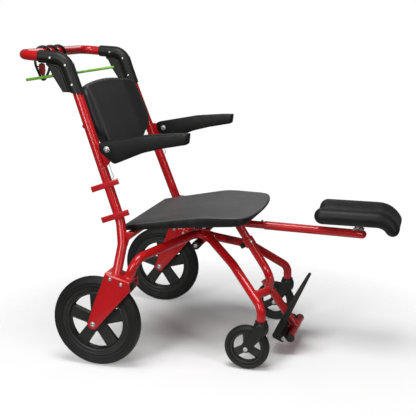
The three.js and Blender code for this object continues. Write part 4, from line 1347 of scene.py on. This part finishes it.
def foot_bar():
    """The cross bar with its end caps, the post down to it, and the rod and lugs of the footplates."""
    bar = crosswise(FOOT_BAR, 0.1)
    piece("foot_bar", Shape().rod(bar, FOOT_TUBE, 40), RED)
    lug = strap((0.605, 0.065), 0.0125, (0.583, 0.065), 0.0075)
    lugs = Shape().plate(lug, -0.02, -0.015).plate(lug, 0.015, 0.02)
    piece("foot_lugs", lugs, RED, nodes=[], edge=0.0006)
    caps = Shape()
    for heading in (ACROSS, -ACROSS):
        caps.turned([
            (0.012, -0.004), (0.014, -0.004), (0.0148, -0.003), (0.015, 0.0), (0.0147, 0.0022),
            (0.0135, 0.0036), (0.011, 0.0042), (0.004, 0.0045),
        ], FOOT_BAR + heading * 0.1002, heading, 44)
    piece("foot_bar_caps", caps, RUBBER, nodes=[])
    post = Shape().rod(POST_LINE, FOOT_TUBE, 40)
    start = POST_LINE[0].lerp(POST_LINE[-1], 0.5)
    down = (POST_LINE[-1] - POST_LINE[0]).normalized()
    post.weld(start, down, FOOT_TUBE, in_tube(bar, FOOT_TUBE), reach=0.12)
    post.weld(start, -down, FOOT_TUBE, in_tube(STRUT_LINE, STRUT), reach=0.12)
    piece("foot_post", post, RED, crease=50)
    rod = Shape().through_bolt(FOOT_HINGE, (0.004, 0.1125), 0.1124, (0.0075, 0.004))
    piece("foot_hinge_rod", rod, STEEL)


def footplates():
    """A tapered plate with a hinge knuckle and anti-slip ridges on its foot side."""
    def turned_up(places):
        """From the plate's folded-down section to its place at rest."""
        return [(FOOT_HINGE.x - AXLE_X + u * math.cos(FOOT_LEAN) - w * math.sin(FOOT_LEAN),
                 FOOT_HINGE.z + u * math.sin(FOOT_LEAN) + w * math.cos(FOOT_LEAN)) for u, w in places]

    section = [(-0.015, -0.004), (-0.006, -0.0075), *arc(0, 0, 0.0075, -90, 0, 6), (0.0075, 0.0148),
               *arc(0.173, 0.0203, 0.0055, -90, 90, 6), (0.04, 0.037), (-0.008, 0.039), (-0.015, 0.032)]
    shape = Shape().plate(turned_up(section), -0.112, -0.021)
    for k in range(11):
        u = 0.05 + 0.0115 * k
        w = 0.037 - (u - 0.04) * (0.037 - 0.0258) / 0.133
        ridge = [(u + along, w + up) for along, up in (
            (-0.0024, -0.0008), (0.0024, -0.0008), (0.0014, 0.0011), (-0.0014, 0.0011))]
        shape.plate(turned_up(ridge), -0.104, -0.029)
    pair("footplate", shape, PLASTIC, "foot_{}", edge=0.0011)


foot_bar()
footplates()


# ---- stage and lights ----

def mixed(tree, amount, first, second, output):
    """Sends a mix of two shaders to an output."""
    mix = node(tree, "MixShader")
    tree.links.new(amount, mix.inputs["Fac"])
    tree.links.new(first.outputs[0], mix.inputs[1])
    tree.links.new(second.outputs[0], mix.inputs[2])
    tree.links.new(mix.outputs[0], tree.nodes[output].inputs["Surface"])


def floor():
    """White paper that fades out between 0.3 and 1.0 m from the middle."""
    size = 14.0
    mesh = bpy.data.meshes.new("floor")
    corners = [(-size, -size, 0), (size, -size, 0), (size, size, 0), (-size, size, 0)]
    mesh.from_pydata(corners, [], [(0, 1, 2, 3)])
    paper = bpy.data.materials.new("floor_paper")
    paper.use_nodes = True
    tree = paper.node_tree
    shader = tree.nodes["Principled BSDF"]
    shader.inputs["Base Color"].default_value = (0.97, 0.97, 0.97, 1)
    shader.inputs["Roughness"].default_value = 0.9
    shader.inputs["Specular IOR Level"].default_value = 0.1
    distance = node(tree, "VectorMath", operation="LENGTH")
    tree.links.new(node(tree, "TexCoord").outputs["Object"], distance.inputs[0])
    faded = between(tree, distance.outputs["Value"], 0, 1, 0.3, 1.0)
    mixed(tree, faded, shader, node(tree, "BsdfTransparent"), "Material Output")
    mesh.materials.append(paper)
    placed("floor", mesh)


def backdrop():
    """White to the camera, but only a dim light on the object."""
    world = bpy.data.worlds.new("studio")
    world.use_nodes = True
    tree = world.node_tree
    dim = tree.nodes["Background"]
    dim.inputs["Color"].default_value = (1, 1, 1, 1)
    dim.inputs["Strength"].default_value = 0.12
    seen = node(tree, "LightPath").outputs["Is Camera Ray"]
    mixed(tree, seen, dim, node(tree, "Background", Color=(1, 1, 1, 1)), "World Output")
    bpy.context.scene.world = world
    bpy.context.scene.view_settings.view_transform = "Standard"


def light(name, place, width, height, power):
    """A soft box aimed at the middle of the chair."""
    data = bpy.data.lights.new(name, "AREA")
    data.shape = "RECTANGLE"
    data.size, data.size_y, data.energy = width, height, power
    aim(placed(name, data), place, Vector((0, 0, 0.5)) - Vector(place))


floor()
backdrop()
light("overhead", (-0.1, -0.8, 3.0), 1.6, 1.0, 56)
light("key", (-1.0, -3.4, 1.7), 1.0, 1.8, 64)
light("fill", (2.5, -1.9, 1.6), 0.35, 2.0, 20)
light("rim", (-0.6, 2.8, 2.4), 1.6, 0.6, 7)
light("strip", (0.5, -2.8, 2.3), 0.07, 2.4, 9)
